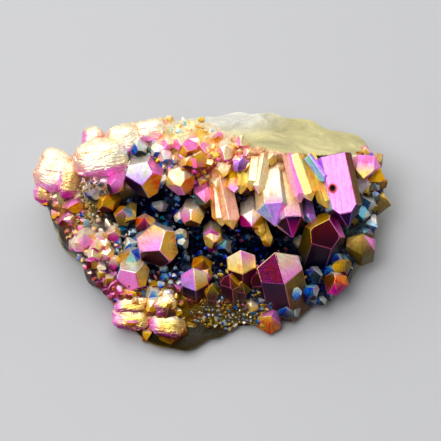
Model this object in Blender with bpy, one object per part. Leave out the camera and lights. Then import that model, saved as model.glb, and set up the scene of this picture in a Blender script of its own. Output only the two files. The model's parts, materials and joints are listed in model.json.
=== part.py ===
"""Aura quartz cluster: a chunk of milky quartz with the crystals that grew on it, fused in one solid.

The cluster lies on its flat back. Its crystal face leans toward -Y, so places on it are given in the
face's own directions: right along +X, up toward the bare slab, and out along the face's axis.
"""

import math
import random
from typing import NamedTuple

import bmesh
import bpy
from mathutils import Matrix, Vector, noise

MM = 0.001

# Driving dimensions. Lengths are in millimetres and angles in degrees.
FACE_ELEVATION = 60.0  # how steeply the crystal face's axis rises from the resting plane
FACE_MIDDLE = (0.4, -4.3, 16.0)  # the face's middle, over the middle of the cluster's outline
RIM_MEAN_HEIGHT = 9.0  # height of the widest line above the resting plane, on average
RIM_HEIGHT_SWING = 7.0  # how much higher that line runs at the slab, and lower at the front
FACE_FLOOR = -4.5  # how far out the matrix stands between its swells
SLAB_EDGE_OUT = 2.5  # how far out of the face the slab's lower edge stands
SLAB_SLOPE = 2.1  # fall of the bare slab, away from the face, for each millimetre up
SLAB_EDGE_UP = 24.2  # where the slab's lower edge crosses the face's middle line
SLAB_EDGE_FALL = 0.21  # how fast that edge comes down toward the right
POINT_SLOPE = 51.8  # angle between a quartz point's faces and its axis's cross plane
RIM_INSIDE = 0.99999  # keeps the rim itself on the surface
CHIP_SIZE = 11.0  # size of the chips on the broken sides and back
CHIP_DEPTH = 4.0
CHIP_START = 4.0  # they reach their full depth this far below the rim
CHIP_LEVEL = 0.55  # where the middle of a chip's depth lies
CLOSEST_POINTS = 0.002  # points of the fused solid nearer than this become one
CUT_WIDTH = 150.0
CUT_DEPTH = 20.0
UNDERCUT = 0.75  # how far the front goes back under the rim for each millimetre down
LONGEST_CRYSTAL = 18  # the limit on a crystal's length, past a short stub
ROOT_DEPTH = 1.0  # how deep a crystal's root lies below the matrix's face
ROOT_DEPTH_PER_WIDTH = 0.3  # and how much deeper a wide one goes
SHALLOWEST_ROOT = 0.5  # a root this deep is left there if it would come up again further on
UNEVEN_SIDES = 0.16  # how much a crystal's sides vary from its width
UNEVEN_POINT = 0.15  # how far its sloping faces are set back, as a share of its width
LUMP_SUBDIVISIONS = 2
LUMP_SQUARENESS = 3.0  # 2 for a rounded lump, more for a blocky one
LUMP_UNEVENNESS = 0.16
SEED = 7
MATRIX_SEGMENTS = 56
MATRIX_RINGS = 26

# Reach of the matrix from the middle of the face, every 15 degrees, counter-clockwise from the right.
REACH = [
    40.0, 43.8, 44.2, 37.6, 33.5, 30.7, 28.8, 28.8, 31.3, 34.8, 40.0, 44.6,
    38.7, 33.4, 30.8, 31.2, 31.8, 30.5, 26.5, 24.0, 26.5, 26.6, 33.0, 35.5,
]


class Swell(NamedTuple):
    """A rounded rise of the matrix, or a hollow where the height is negative."""

    right: float
    up: float
    reach_right: float
    reach_up: float
    height: float


SWELLS = [
    Swell(-28, 17, 13, 7, 4.5),
    Swell(0, 19, 14, 6, 7.0),
    Swell(19, 19.5, 16, 4.5, 8.0),
    Swell(10, -2, 13, 4.5, -7.0),
    Swell(-5, 5, 4, 8, -6.0),
    Swell(-18, 7, 7, 3, -5.5),
    Swell(5, -17, 22, 7, 5.0),
    Swell(-22, -17, 9, 8, 4.5),
    Swell(-30, -2, 7, 7, 4.0),
    Swell(-17, -10, 2.5, 7, -4.0),
    Swell(33, 15, 2, 5, -4.0),
    Swell(26, -5, 5, 4, -3.0),
]


class Lump(NamedTuple):
    """A rounded block that crystals have grown together into."""

    right: float
    up: float
    out: float
    reach_right: float
    reach_up: float
    reach_out: float
    turn: float = 0.0  # in the face, counter-clockwise


LUMPS = [
    Lump(-30.2, 23.0, -8.5, 2.8, 2.8, 2.8),
    Lump(-27.8, 18.0, -1.0, 6.6, 4.6, 3.8, 12),
    Lump(-22.8, 22.3, -3.0, 4.4, 3.6, 3.2, 30),
    Lump(-16.2, 24.9, -4.6, 3.5, 2.7, 3.0, 10),
    Lump(-39.6, 15.0, -6.0, 4.4, 5.2, 3.6, -30),
    Lump(-36.0, 12.6, -3.4, 2.4, 4.4, 2.8, -5),
    Lump(-42.3, 10.2, -9.6, 2.4, 3.2, 2.6, -10),
]


class Crystal(NamedTuple):
    """One quartz point: where its tip is, which way it leans, and its size."""

    right: float
    up: float
    out: float
    toward: float  # direction of the lean in the face, counter-clockwise from the right
    lean: float  # angle between the crystal and the face's axis
    width: float  # between opposite sides
    twist: float = 0.0  # turn about its own axis; at 0 an edge is uppermost
    trigonal: float = 0.12  # how far every second sloping face is set back, as a share of the width
    sides: tuple[float, ...] = ()  # how far each side stands from the axis, as a share of half the width
    setbacks: tuple[float, ...] = ()  # how far each sloping face is set back, as a share of the width


RIDGED = (0, -0.35, 0, 0, -0.35, 0)  # sloping faces that leave a ridge at the tip
THREE_FACED = (0, 0.16, 0, 0.16, 0, 0.16)  # every second sloping face larger
SIX_FACED = (0, 0, 0, 0, 0, 0)
EVEN_SIDES = (1, 1, 1, 1, 1, 1)
BROAD_FRONT = (1, 1, 1, 1, 1, 0.7)

LARGE_CRYSTALS = [
    Crystal(15.0, -5.4, 7.0, 103, 47, 9.5, 6, sides=(1, 1.15, 1, 1, 1.1, 1), setbacks=RIDGED),
    Crystal(6.5, -4.9, 5.0, 95, 45, 7.0, 0, sides=EVEN_SIDES, setbacks=RIDGED),
    Crystal(19.3, -1.6, 4.5, 280, 68, 7.0, 10, sides=EVEN_SIDES, setbacks=SIX_FACED),
    Crystal(15.1, 1.2, 5.8, 275, 62, 7.6, 30, sides=EVEN_SIDES, setbacks=SIX_FACED),
    Crystal(28.2, 2.8, 6.0, 75, 35, 9.0, 30, sides=EVEN_SIDES, setbacks=THREE_FACED),
    Crystal(-18.2, 10.6, 5.5, 252, 25, 8.8, -58, sides=EVEN_SIDES, setbacks=(0, 0.16, 0, 0.26, 0, 0.16)),
    Crystal(-13.3, -4.8, 6.0, 300, 12, 9.5, 40, sides=EVEN_SIDES, setbacks=THREE_FACED),
    Crystal(-19.2, -10.3, 4.5, 30, 10, 7.5, -75, sides=EVEN_SIDES, setbacks=THREE_FACED),
    Crystal(33.0, 0.9, 4.0, 282, 82, 8.0, 30, sides=BROAD_FRONT, setbacks=SIX_FACED),
]

FAN_COLUMNS = [
    Crystal(9.0, 9.7, 4.5, 264, 78, 3.2, 30, 0.0),
    Crystal(10.7, 8.8, 5.0, 260, 78, 3.2, 0, 0.0),
    Crystal(14.0, 16.0, 3.5, 268, 72, 3.0, 0, 0.0),
    Crystal(16.5, 13.5, 2.0, 280, 60, 3.0),
    Crystal(21.3, 6.8, 5.5, 284, 76, 3.2, 0, 0.0),
    Crystal(23.9, 7.2, 5.3, 290, 76, 3.8, 30, 0.0),
    Crystal(28.0, 5.2, 4.4, 291, 77, 3.8, 0, 0.0),
    Crystal(27.9, 11.6, 4.5, 305, 78, 2.4, 0, 0.0),
    Crystal(13.7, -3.9, 2.0, 290, 50, 3.0),
    Crystal(11.7, -1.4, 2.0, 280, 50, 2.5),
    Crystal(24.0, 2.0, 1.0, 280, 40, 3.0),
]

UPPER_LEFT_CRYSTALS = [
    Crystal(-24.7, 9.0, 2.0, 260, 45, 4.6, 10),
    Crystal(-13.2, 11.9, 1.0, 270, 20, 3.2, 20),
    Crystal(-8.2, 10.8, 3.0, 280, 18, 6.5, 40),
    Crystal(-27.7, 5.8, 0.5, 220, 25, 4.2, 30),
    Crystal(-22.7, 4.6, 0.5, 100, 15, 4.6, 15),
    Crystal(-21.0, 2.4, -0.5, 270, 20, 3.6),
    Crystal(-16.9, 3.0, 1.0, 90, 25, 4.8, 0, 0.05),
    Crystal(-14.7, 5.9, -2.0, 180, 20, 3.2, 10),
    Crystal(-8.7, 2.6, -2.0, 240, 20, 2.8, 40),
    Crystal(-5.6, 2.7, 2.5, 260, 14, 5.4, -20),
    Crystal(-2.1, 6.6, 2.0, 270, 24, 5.2, 0, 0.0),
    Crystal(-0.7, 10.5, -1.0, 90, 20, 4.0, 10),
    Crystal(-30.5, 8.5, -0.5, 200, 20, 3.0, 10),
]

CENTRE_CRYSTALS = [
    Crystal(-10.7, -0.9, 1.0, 90, 15, 3.0, 10, 0.05),
    Crystal(-8.0, -0.6, 0.5, 60, 15, 3.2, 30),
    Crystal(-7.7, -3.6, 1.0, 270, 15, 3.0, 50),
    Crystal(-20.7, -5.1, 2.0, 90, 25, 5.8, 20, 0.05),
    Crystal(4.8, 0.2, 3.5, 282, 76, 4.0, 0, 0.0),
    Crystal(2.0, 1.0, 3.0, 275, 74, 3.8, 30),
    Crystal(9.2, 1.2, 4.0, 270, 28, 5.4, 0, 0.05),
    Crystal(-0.5, 0.5, 1.0, 100, 30, 3.5, 20),
    Crystal(-0.2, -3.1, 1.5, 270, 20, 4.2, 15),
    Crystal(2.7, -4.6, -1.0, 300, 20, 3.8, 40),
    Crystal(-2.5, -7.1, 2.5, 75, 32, 5.4, 5, 0.05),
    Crystal(-5.0, -9.3, 4.0, 95, 42, 6.6, 0, sides=EVEN_SIDES, setbacks=RIDGED),
    Crystal(-1.6, -9.5, 2.5, 60, 35, 4.0, 20),
    Crystal(3.7, -10.6, 4.5, 95, 45, 4.8, 0),
    Crystal(-0.2, -13.6, 3.0, 90, 40, 4.2, 20),
    Crystal(7.0, -12.4, 3.5, 80, 40, 4.2, 30),
    Crystal(10.5, -10.4, 3.0, 110, 35, 4.4, 10),
]

RIGHT_CRYSTALS = [
    Crystal(37.0, 12.4, -1.5, 265, 50, 7.0, 30, 0.1),
    Crystal(38.7, 17.1, -4.0, 60, 30, 5.0, 0),
    Crystal(42.0, 19.0, -8.0, 40, 55, 4.0, 20),
    Crystal(42.5, 13.0, -6.5, 350, 55, 5.5, 10),
    Crystal(36.7, 9.4, -4.0, 280, 30, 4.5, 30),
    Crystal(39.0, 6.8, -4.0, 30, 25, 6.0, 15),
    Crystal(44.0, 6.0, -9.0, 350, 60, 6.5, 30),
    Crystal(36.8, 3.0, -3.0, 290, 25, 4.4, 0),
    Crystal(40.5, 0.9, -6.0, 330, 40, 4.6, 20),
    Crystal(36.5, -0.8, -1.0, 85, 34, 6.8, 0, 0.0),
    Crystal(30.4, -6.0, -1.0, 90, 30, 3.2, 10),
    Crystal(28.6, -9.0, -0.5, 110, 30, 3.0, 40),
    Crystal(32.4, -7.6, 0.0, 60, 35, 4.6, 0),
    Crystal(29.8, -11.2, 2.0, 105, 33, 6.0, 0, 0.0),
    Crystal(26.8, -6.0, -0.5, 330, 35, 4.0, 30),
    Crystal(25.0, -9.9, 0.5, 100, 25, 3.6, 20),
    Crystal(24.4, -13.9, 1.5, 70, 30, 3.6, 0),
    Crystal(20.6, -14.4, 4.0, 60, 30, 2.6, 20),
]

BOTTOM_CRYSTALS = [
    Crystal(13.7, -21.2, 1.5, 80, 10, 6.2, 10),
    Crystal(17.6, -18.9, 2.0, 100, 30, 3.6),
    Crystal(20.0, -21.2, 0.0, 300, 30, 4.2, 20),
    Crystal(24.7, -18.2, -1.0, 300, 45, 4.4),
    Crystal(9.5, -20.0, 1.5, 270, 40, 3.2),
    Crystal(-26.0, -14.6, 0.0, 200, 35, 5.2, 20),
    Crystal(-26.5, -12.0, 0.0, 160, 30, 3.2),
    Crystal(-23.5, -18.2, 1.0, 170, 40, 5.0, 30),
    Crystal(-19.8, -20.6, 1.5, 100, 18, 7.0, 0, 0.0),
    Crystal(-16.0, -20.0, 3.0, 235, 35, 4.6, 0),
    Crystal(-10.9, -17.6, 3.5, 60, 25, 5.0, 20),
    Crystal(-10.8, -22.0, 2.0, 95, 28, 7.2, 0, 0.0),
    Crystal(-15.5, -15.0, 2.0, 120, 25, 4.0, 30),
]

LEFT_CRYSTALS = [
    Crystal(-32.0, -0.6, 2.0, 120, 20, 4.8, 20),
    Crystal(-27.7, -1.1, 2.0, 90, 20, 3.4, 0),
    Crystal(-24.7, -0.1, 1.0, 70, 20, 3.6, 40),
    Crystal(-34.4, -3.1, 0.5, 170, 20, 3.6, 10),
    Crystal(-29.4, -3.9, 2.2, 200, 20, 3.2, 30),
    Crystal(-30.0, -6.2, 1.5, 240, 25, 3.8, 0),
    Crystal(-26.7, -3.9, 2.2, 300, 20, 2.8, 15),
    Crystal(-26.2, -6.2, 1.6, 270, 20, 3.0, 45),
    Crystal(-24.0, -7.0, 1.2, 60, 25, 3.2, 20),
    Crystal(-44.8, 8.4, -9.5, 180, 60, 5.0, 0, 0.0),
    Crystal(-36.7, 8.4, -2.0, 240, 25, 3.8, 30),
    Crystal(-36.5, 5.3, -2.0, 200, 30, 5.0, 15),
    Crystal(-38.5, 1.8, -4.5, 200, 50, 6.4, 0),
]

TOP_CRYSTALS = [
    Crystal(-28.4, 22.0, -5.0, 110, 30, 5.0, 15),
    Crystal(-20.5, 27.0, -8.0, 110, 45, 4.0, 30),
    Crystal(-11.2, 23.0, -0.5, 80, 25, 5.4, 30),
    Crystal(-4.5, 24.4, -0.5, 90, 30, 6.4, 0),
    Crystal(-11.5, 20.9, 2.2, 250, 15, 3.4, 20),
    Crystal(-8.0, 21.0, 3.0, 270, 5, 3.6, 0),
    Crystal(-14.4, 19.1, 1.8, 230, 20, 3.4, 40),
    Crystal(-12.0, 17.6, 2.0, 270, 20, 3.4, 0),
    Crystal(-18.8, 19.5, 1.2, 240, 15, 4.0, 20),
    Crystal(-6.0, 19.4, 4.2, 250, 8, 4.6, 30),
    Crystal(-2.2, 19.0, 4.8, 280, 8, 4.4, 0),
    Crystal(-7.2, 16.2, 3.4, 230, 30, 3.8, 10),
    Crystal(-4.0, 15.6, 4.6, 260, 30, 4.2, 0),
    Crystal(-0.5, 15.2, 4.8, 290, 30, 4.2, 30),
    Crystal(2.7, 17.4, 5.4, 260, 35, 4.4, 0),
    Crystal(2.4, 13.2, 4.4, 270, 40, 4.0, 20),
    Crystal(6.2, 14.4, 5.4, 262, 50, 4.2, 0),
    Crystal(5.0, 9.4, 4.2, 275, 50, 4.0, 30),
    Crystal(1.0, 9.6, 3.0, 260, 40, 3.8, 10),
    Crystal(6.7, 20.6, 4.4, 250, 35, 4.2, 0),
    Crystal(11.2, 18.9, 4.2, 262, 50, 3.2, 20),
    Crystal(6.6, 9.0, 3.6, 262, 76, 3.2, 10, 0.0),
    Crystal(-33.0, 15.4, -1.0, 215, 40, 4.0, 10),
]

ALL_CRYSTALS = (
    LARGE_CRYSTALS + FAN_COLUMNS + UPPER_LEFT_CRYSTALS + CENTRE_CRYSTALS
    + RIGHT_CRYSTALS + BOTTOM_CRYSTALS + LEFT_CRYSTALS + TOP_CRYSTALS
)


def face_axes():
    """The face's right, up and out directions in the world."""
    rise = math.radians(FACE_ELEVATION)
    right = Vector((1, 0, 0))
    up = Vector((0, math.sin(rise), math.cos(rise)))
    out = Vector((0, -math.cos(rise), math.sin(rise)))
    return right, up, out


RIGHT, UP, OUT = face_axes()


def on_face(right, up, out):
    """The world place of a point given in millimetres on the face."""
    return (Vector(FACE_MIDDLE) + RIGHT * right + UP * up + OUT * out) * MM


def reach_at(angle):
    """How far the matrix reaches from the middle of the face at an angle in radians."""
    turn = (angle / math.tau) % 1.0 * len(REACH)
    k = int(turn)
    blend = (1 - math.cos(math.pi * (turn - k))) / 2
    return REACH[k % len(REACH)] * (1 - blend) + REACH[(k + 1) % len(REACH)] * blend


def rim_out(angle, up):
    """How far out the widest line lies, so that it runs high at the slab and low at the front."""
    height = RIM_MEAN_HEIGHT + RIM_HEIGHT_SWING * math.sin(angle)
    rise = math.radians(FACE_ELEVATION)
    return (height - FACE_MIDDLE[2] - up * math.cos(rise)) / math.sin(rise)


def relief(right, up):
    """How far out the matrix's face stands at a place on it."""
    out = FACE_FLOOR
    for swell in SWELLS:
        across = (right - swell.right) / swell.reach_right
        along = (up - swell.up) / swell.reach_up
        out += swell.height * math.exp(-(across**2) - along**2)
    slab = SLAB_EDGE_OUT - SLAB_SLOPE * (up - SLAB_EDGE_UP + SLAB_EDGE_FALL * right)
    rough = 0.9 * noise.noise(Vector((right * 0.16, up * 0.16, 3.0)))
    return min(out + rough, slab)


def skin_out(right, up):
    """How far out the matrix's surface stands, from its middle to its rim; nothing past the rim."""
    angle = math.atan2(up, right)
    reach = reach_at(angle)
    spread = math.hypot(right, up) / reach
    if spread > 1:
        return None
    rim = rim_out(angle, reach * math.sin(angle))
    return rim + (relief(right, up) - rim) * (1 - spread**5) ** 0.5


def matrix_point(direction):
    """Where a point of the unit sphere goes on the matrix: its front takes the relief, its back goes down."""
    angle = math.atan2(direction.y, direction.x)
    spread = math.hypot(direction.x, direction.y)
    reach = reach_at(angle)
    rim_right, rim_up = reach * math.cos(angle), reach * math.sin(angle)
    if direction.z >= 0:
        right, up = rim_right * spread * RIM_INSIDE, rim_up * spread * RIM_INSIDE
        return on_face(right, up, skin_out(right, up))
    edge = on_face(rim_right, rim_up, rim_out(angle, rim_up))
    shrink = spread**0.3
    drop = (edge.z + 6 * MM) * (-direction.z) ** 0.8
    tuck = UNDERCUT * drop * max(0.0, -math.sin(angle))
    below_rim = min(1.0, drop / (CHIP_START * MM))
    return fractured(Vector((edge.x * shrink, edge.y * shrink + tuck, edge.z - drop)), below_rim)


def fractured(point, share):
    """A point of the broken sides, moved in or out so that they have flat chips and ridges."""
    distances, _ = noise.voronoi(point / (CHIP_SIZE * MM))
    outward = Vector((point.x, point.y, 0)).normalized()
    return point + outward * (distances[0] - CHIP_LEVEL) * share * CHIP_DEPTH * MM


def matrix_block():
    """The milky quartz chunk, shaped from a sphere whose pole looks out of the face."""
    bm = bmesh.new()
    bmesh.ops.create_uvsphere(bm, u_segments=MATRIX_SEGMENTS, v_segments=MATRIX_RINGS, radius=1)
    for vert in bm.verts:
        vert.co = matrix_point(vert.co)
    bmesh.ops.triangulate(bm, faces=bm.faces[:])
    return new_object("quartz_cluster", bm)


def crystal_planes(crystal, chance):
    """The outward directions and distances from the tip of a quartz point's twelve uneven faces."""
    slope = math.radians(POINT_SLOPE)
    for k in range(6):
        turn = math.radians(crystal.twist + 30 + 60 * k)
        side = Vector((math.cos(turn), math.sin(turn), 0))
        spread = chance.uniform(1 - UNEVEN_SIDES, 1 + UNEVEN_SIDES)
        yield side, crystal.width / 2 * (crystal.sides[k] if crystal.sides else spread)
        facing = side * math.sin(slope) + Vector((0, 0, math.cos(slope)))
        setback = chance.uniform(0, UNEVEN_POINT) + crystal.trigonal * (k % 2)
        yield facing, -crystal.width * (crystal.setbacks[k] if crystal.setbacks else setback)


def rooted_length(crystal, axis):
    """How long a crystal is: to where its root is deep enough in the matrix, or else the deepest it gets."""
    wanted = ROOT_DEPTH + ROOT_DEPTH_PER_WIDTH * crystal.width
    best_length, best_depth = crystal.width, -100.0
    for step in range(2 * LONGEST_CRYSTAL):
        length = crystal.width * 0.8 + step / 2
        surface = skin_out(crystal.right - length * axis.dot(RIGHT), crystal.up - length * axis.dot(UP))
        if surface is None:
            continue
        depth = surface - (crystal.out - length * axis.dot(OUT))
        if depth < best_depth and best_depth > SHALLOWEST_ROOT:
            break
        if depth > best_depth:
            best_length, best_depth = length, depth
        if depth > wanted:
            break
    return best_length


def lean_frame(crystal):
    """The turn that stands a crystal on the face: its axis leans, and its first side looks outward."""
    toward, lean = math.radians(crystal.toward), math.radians(crystal.lean)
    axis = (RIGHT * math.cos(toward) + UP * math.sin(toward)) * math.sin(lean) + OUT * math.cos(lean)
    first = (OUT - axis * OUT.dot(axis)).normalized()
    second = axis.cross(first)
    return Matrix((first, second, axis)).transposed().to_4x4()


def grow_crystal(crystal, name, chance):
    """A six-sided quartz point, cut from a block by its faces' planes."""
    frame = lean_frame(crystal)
    length = rooted_length(crystal, frame.col[2].to_3d())
    bm = bmesh.new()
    bmesh.ops.create_cube(bm, size=1)
    bmesh.ops.scale(bm, vec=(crystal.width * 1.6, crystal.width * 1.6, length), verts=bm.verts)
    bmesh.ops.translate(bm, vec=(0, 0, -length / 2), verts=bm.verts)
    for normal, distance in crystal_planes(crystal, chance):
        everything = bm.verts[:] + bm.edges[:] + bm.faces[:]
        cut = bmesh.ops.bisect_plane(
            bm, geom=everything, dist=1e-5, plane_co=normal * distance, plane_no=normal, clear_outer=True
        )
        rim = [item for item in cut["geom_cut"] if isinstance(item, bmesh.types.BMEdge)]
        bmesh.ops.contextual_create(bm, geom=rim)
    peak = max(vert.co.z for vert in bm.verts)
    bmesh.ops.translate(bm, vec=(0, 0, -peak), verts=bm.verts)
    tip = on_face(crystal.right, crystal.up, crystal.out)
    bmesh.ops.transform(bm, matrix=Matrix.Translation(tip) @ frame @ Matrix.Scale(MM, 4), verts=bm.verts)
    bmesh.ops.recalc_face_normals(bm, faces=bm.faces)
    return new_object(name, bm)


def lump_block(lump, name):
    """A rounded, uneven block of crystals grown together."""
    bm = bmesh.new()
    bmesh.ops.create_icosphere(bm, subdivisions=LUMP_SUBDIVISIONS, radius=1)
    turn = Matrix.Rotation(math.radians(lump.turn), 3, "Z")
    for vert in bm.verts:
        square = sum(abs(c) ** LUMP_SQUARENESS for c in vert.co) ** (-1 / LUMP_SQUARENESS)
        uneven = 1 + LUMP_UNEVENNESS * noise.noise(vert.co * 1.3 + Vector((lump.right, lump.up, 0)))
        reach = Vector((lump.reach_right, lump.reach_up, lump.reach_out))
        place = turn @ (reach * vert.co * square * uneven)
        vert.co = on_face(lump.right + place.x, lump.up + place.y, lump.out + place.z)
    return new_object(name, bm)


def resting_cut():
    """The block below the resting plane that leaves the cluster its flat back."""
    bm = bmesh.new()
    bmesh.ops.create_cube(bm, size=1)
    bmesh.ops.scale(bm, vec=(CUT_WIDTH * MM, CUT_WIDTH * MM, CUT_DEPTH * MM), verts=bm.verts)
    bmesh.ops.translate(bm, vec=(0, 0, -CUT_DEPTH / 2 * MM), verts=bm.verts)
    return new_object("resting_cut", bm)


def new_object(name, bm):
    """A scene object made from a mesh in the making."""
    mesh = bpy.data.meshes.new(name)
    bm.to_mesh(mesh)
    bm.free()
    return bpy.data.objects.new(name, mesh)


def add_tool(tool, tools):
    """Puts a shape that is only there to be fused or cut away among the tools."""
    tool.hide_render = True
    tool.display_type = "WIRE"
    tools.objects.link(tool)
    return tool


def fuse_growth(cluster):
    """Fuses every lump and crystal to the matrix."""
    growth = bpy.data.collections.new("growth_to_fuse")
    bpy.context.scene.collection.children.link(growth)
    chance = random.Random(SEED)
    for k, lump in enumerate(LUMPS):
        add_tool(lump_block(lump, f"lump_{k}"), growth)
    for k, crystal in enumerate(ALL_CRYSTALS):
        add_tool(grow_crystal(crystal, f"crystal_{k:03d}", chance), growth)
    fuse = cluster.modifiers.new("fuse_growth", "BOOLEAN")
    fuse.operation = "UNION"
    fuse.operand_type = "COLLECTION"
    fuse.collection = growth
    fuse.solver = "EXACT"


def cut_flat(cluster):
    """Cuts the cluster flat at the resting plane."""
    cutters = bpy.data.collections.new("cutters")
    bpy.context.scene.collection.children.link(cutters)
    cut = cluster.modifiers.new("cut_flat", "BOOLEAN")
    cut.operation = "DIFFERENCE"
    cut.object = add_tool(resting_cut(), cutters)
    cut.solver = "EXACT"


def shell_of(start):
    """All the faces joined to one across edges."""
    shell, waiting = {start}, [start]
    while waiting:
        for edge in waiting.pop().edges:
            for face in edge.link_faces:
                if face not in shell:
                    shell.add(face)
                    waiting.append(face)
    return shell


def keep_outer_shell(cluster):
    """Applies the modifiers and fills the small pockets that are sealed between crystals."""
    depsgraph = bpy.context.evaluated_depsgraph_get()
    mesh = bpy.data.meshes.new_from_object(cluster.evaluated_get(depsgraph))
    cluster.modifiers.clear()
    cluster.data = mesh
    bm = bmesh.new()
    bm.from_mesh(mesh)
    bmesh.ops.remove_doubles(bm, verts=bm.verts, dist=CLOSEST_POINTS * MM)
    outermost = max(bm.verts, key=lambda vert: vert.co.x)
    outer = shell_of(outermost.link_faces[0])
    bmesh.ops.delete(bm, geom=[face for face in bm.faces if face not in outer], context="FACES")
    bm.to_mesh(mesh)
    bm.free()


def coated_quartz():
    """The look of the coated crystals: a metallic skin of mostly gold and pink."""
    material = bpy.data.materials.new("coated_quartz")
    material.use_nodes = True
    shader = material.node_tree.nodes["Principled BSDF"]
    shader.inputs["Base Color"].default_value = (0.62, 0.36, 0.42, 1)
    shader.inputs["Roughness"].default_value = 0.28
    shader.inputs["Metallic"].default_value = 0.6
    return material


def main():
    """Builds the cluster."""
    for thing in list(bpy.data.objects):
        bpy.data.objects.remove(thing)
    parts = bpy.data.collections.new("aura_quartz_cluster")
    bpy.context.scene.collection.children.link(parts)
    cluster = matrix_block()
    cluster.data.materials.append(coated_quartz())
    parts.objects.link(cluster)
    fuse_growth(cluster)
    cut_flat(cluster)
    keep_outer_shell(cluster)


if __name__ == "__main__":
    main()
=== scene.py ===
"""Aura quartz cluster, dressed: the milky quartz chunk, its coated crystals and the fine druse between them.

Places on the crystal face are given in millimetres in the face's own directions: right along +X, up
toward the bare slab, and out along the face's axis.
"""

import sys
import json
import logging
import math
import random
from dataclasses import dataclass
from enum import Enum
from functools import partial
from typing import Callable, Iterator

import bpy
import numpy as np
from mathutils import Matrix, Vector, noise

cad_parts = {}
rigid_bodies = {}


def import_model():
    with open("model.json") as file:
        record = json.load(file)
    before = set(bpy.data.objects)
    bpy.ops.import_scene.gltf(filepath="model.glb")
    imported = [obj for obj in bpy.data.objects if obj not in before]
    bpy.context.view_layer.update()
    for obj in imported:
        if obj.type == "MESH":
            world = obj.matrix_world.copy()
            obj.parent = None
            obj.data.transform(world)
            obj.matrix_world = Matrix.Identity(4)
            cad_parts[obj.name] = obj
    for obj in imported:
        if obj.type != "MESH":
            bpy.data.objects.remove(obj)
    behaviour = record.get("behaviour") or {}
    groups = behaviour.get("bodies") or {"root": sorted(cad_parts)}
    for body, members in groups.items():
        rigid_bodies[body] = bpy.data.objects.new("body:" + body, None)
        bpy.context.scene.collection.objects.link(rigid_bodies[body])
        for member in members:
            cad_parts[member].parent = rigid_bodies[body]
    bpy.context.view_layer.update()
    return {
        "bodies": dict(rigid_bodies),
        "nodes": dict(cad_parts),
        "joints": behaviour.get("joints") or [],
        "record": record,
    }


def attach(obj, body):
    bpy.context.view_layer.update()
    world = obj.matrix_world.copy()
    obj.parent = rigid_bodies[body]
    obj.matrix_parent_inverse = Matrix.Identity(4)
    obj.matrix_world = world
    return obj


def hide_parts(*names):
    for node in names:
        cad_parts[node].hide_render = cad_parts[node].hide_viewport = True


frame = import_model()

log = logging.getLogger("quartz_cluster")

MM = 0.001
BODY = "root"
NODE = "quartz_cluster"
NOISE_SEED = 5

FACE_ELEVATION = 60.0  # how steeply the face's axis rises from the floor, in degrees
FACE_MIDDLE = (0.4, -4.3, 16.0)
POINT_SLOPE = 51.8  # between a quartz point's faces and its axis's cross plane


class Tint(Enum):
    """A colour of the coat or the stone in plain light, as sRGB."""

    WHITE = (1.0, 0.98, 0.90)
    CREAM = (1.0, 0.95, 0.80)
    YELLOW = (1.0, 0.87, 0.48)
    GOLD = (0.84, 0.64, 0.22)
    BROWN = (0.42, 0.26, 0.09)
    ORANGE = (0.90, 0.47, 0.20)
    AMBER = (0.95, 0.78, 0.40)
    PEACH = (1.0, 0.78, 0.70)
    PINK = (1.0, 0.60, 0.90)
    MAGENTA = (0.78, 0.17, 0.58)
    LILAC = (0.80, 0.60, 0.97)
    MALLOW = (0.80, 0.34, 0.62)
    PLUM = (0.52, 0.10, 0.42)
    PURPLE = (0.16, 0.04, 0.23)
    WINE = (0.37, 0.03, 0.11)
    MAROON = (0.20, 0.03, 0.10)
    NAVY = (0.025, 0.06, 0.16)
    BLUE = (0.22, 0.44, 0.85)
    CYAN = (0.58, 0.84, 0.93)
    TEAL = (0.32, 0.41, 0.40)
    OLIVE = (0.47, 0.40, 0.13)
    SILVER = (0.78, 0.80, 0.78)
    MILKY = (0.74, 0.70, 0.50)
    FROST = (0.82, 0.81, 0.76)
    # the bare stone in painted shade, used low on the chunk
    LOAM = (0.15, 0.12, 0.035)
    ROSEWOOD = (0.50, 0.14, 0.33)
    MAUVE = (0.60, 0.50, 0.74)
    HAY = (0.93, 0.80, 0.50)

    @property
    def linear(self) -> np.ndarray:
        """The tint as linear light."""
        return np.array([c / 12.92 if c < 0.04045 else ((c + 0.055) / 1.055) ** 2.4 for c in self.value])


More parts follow.
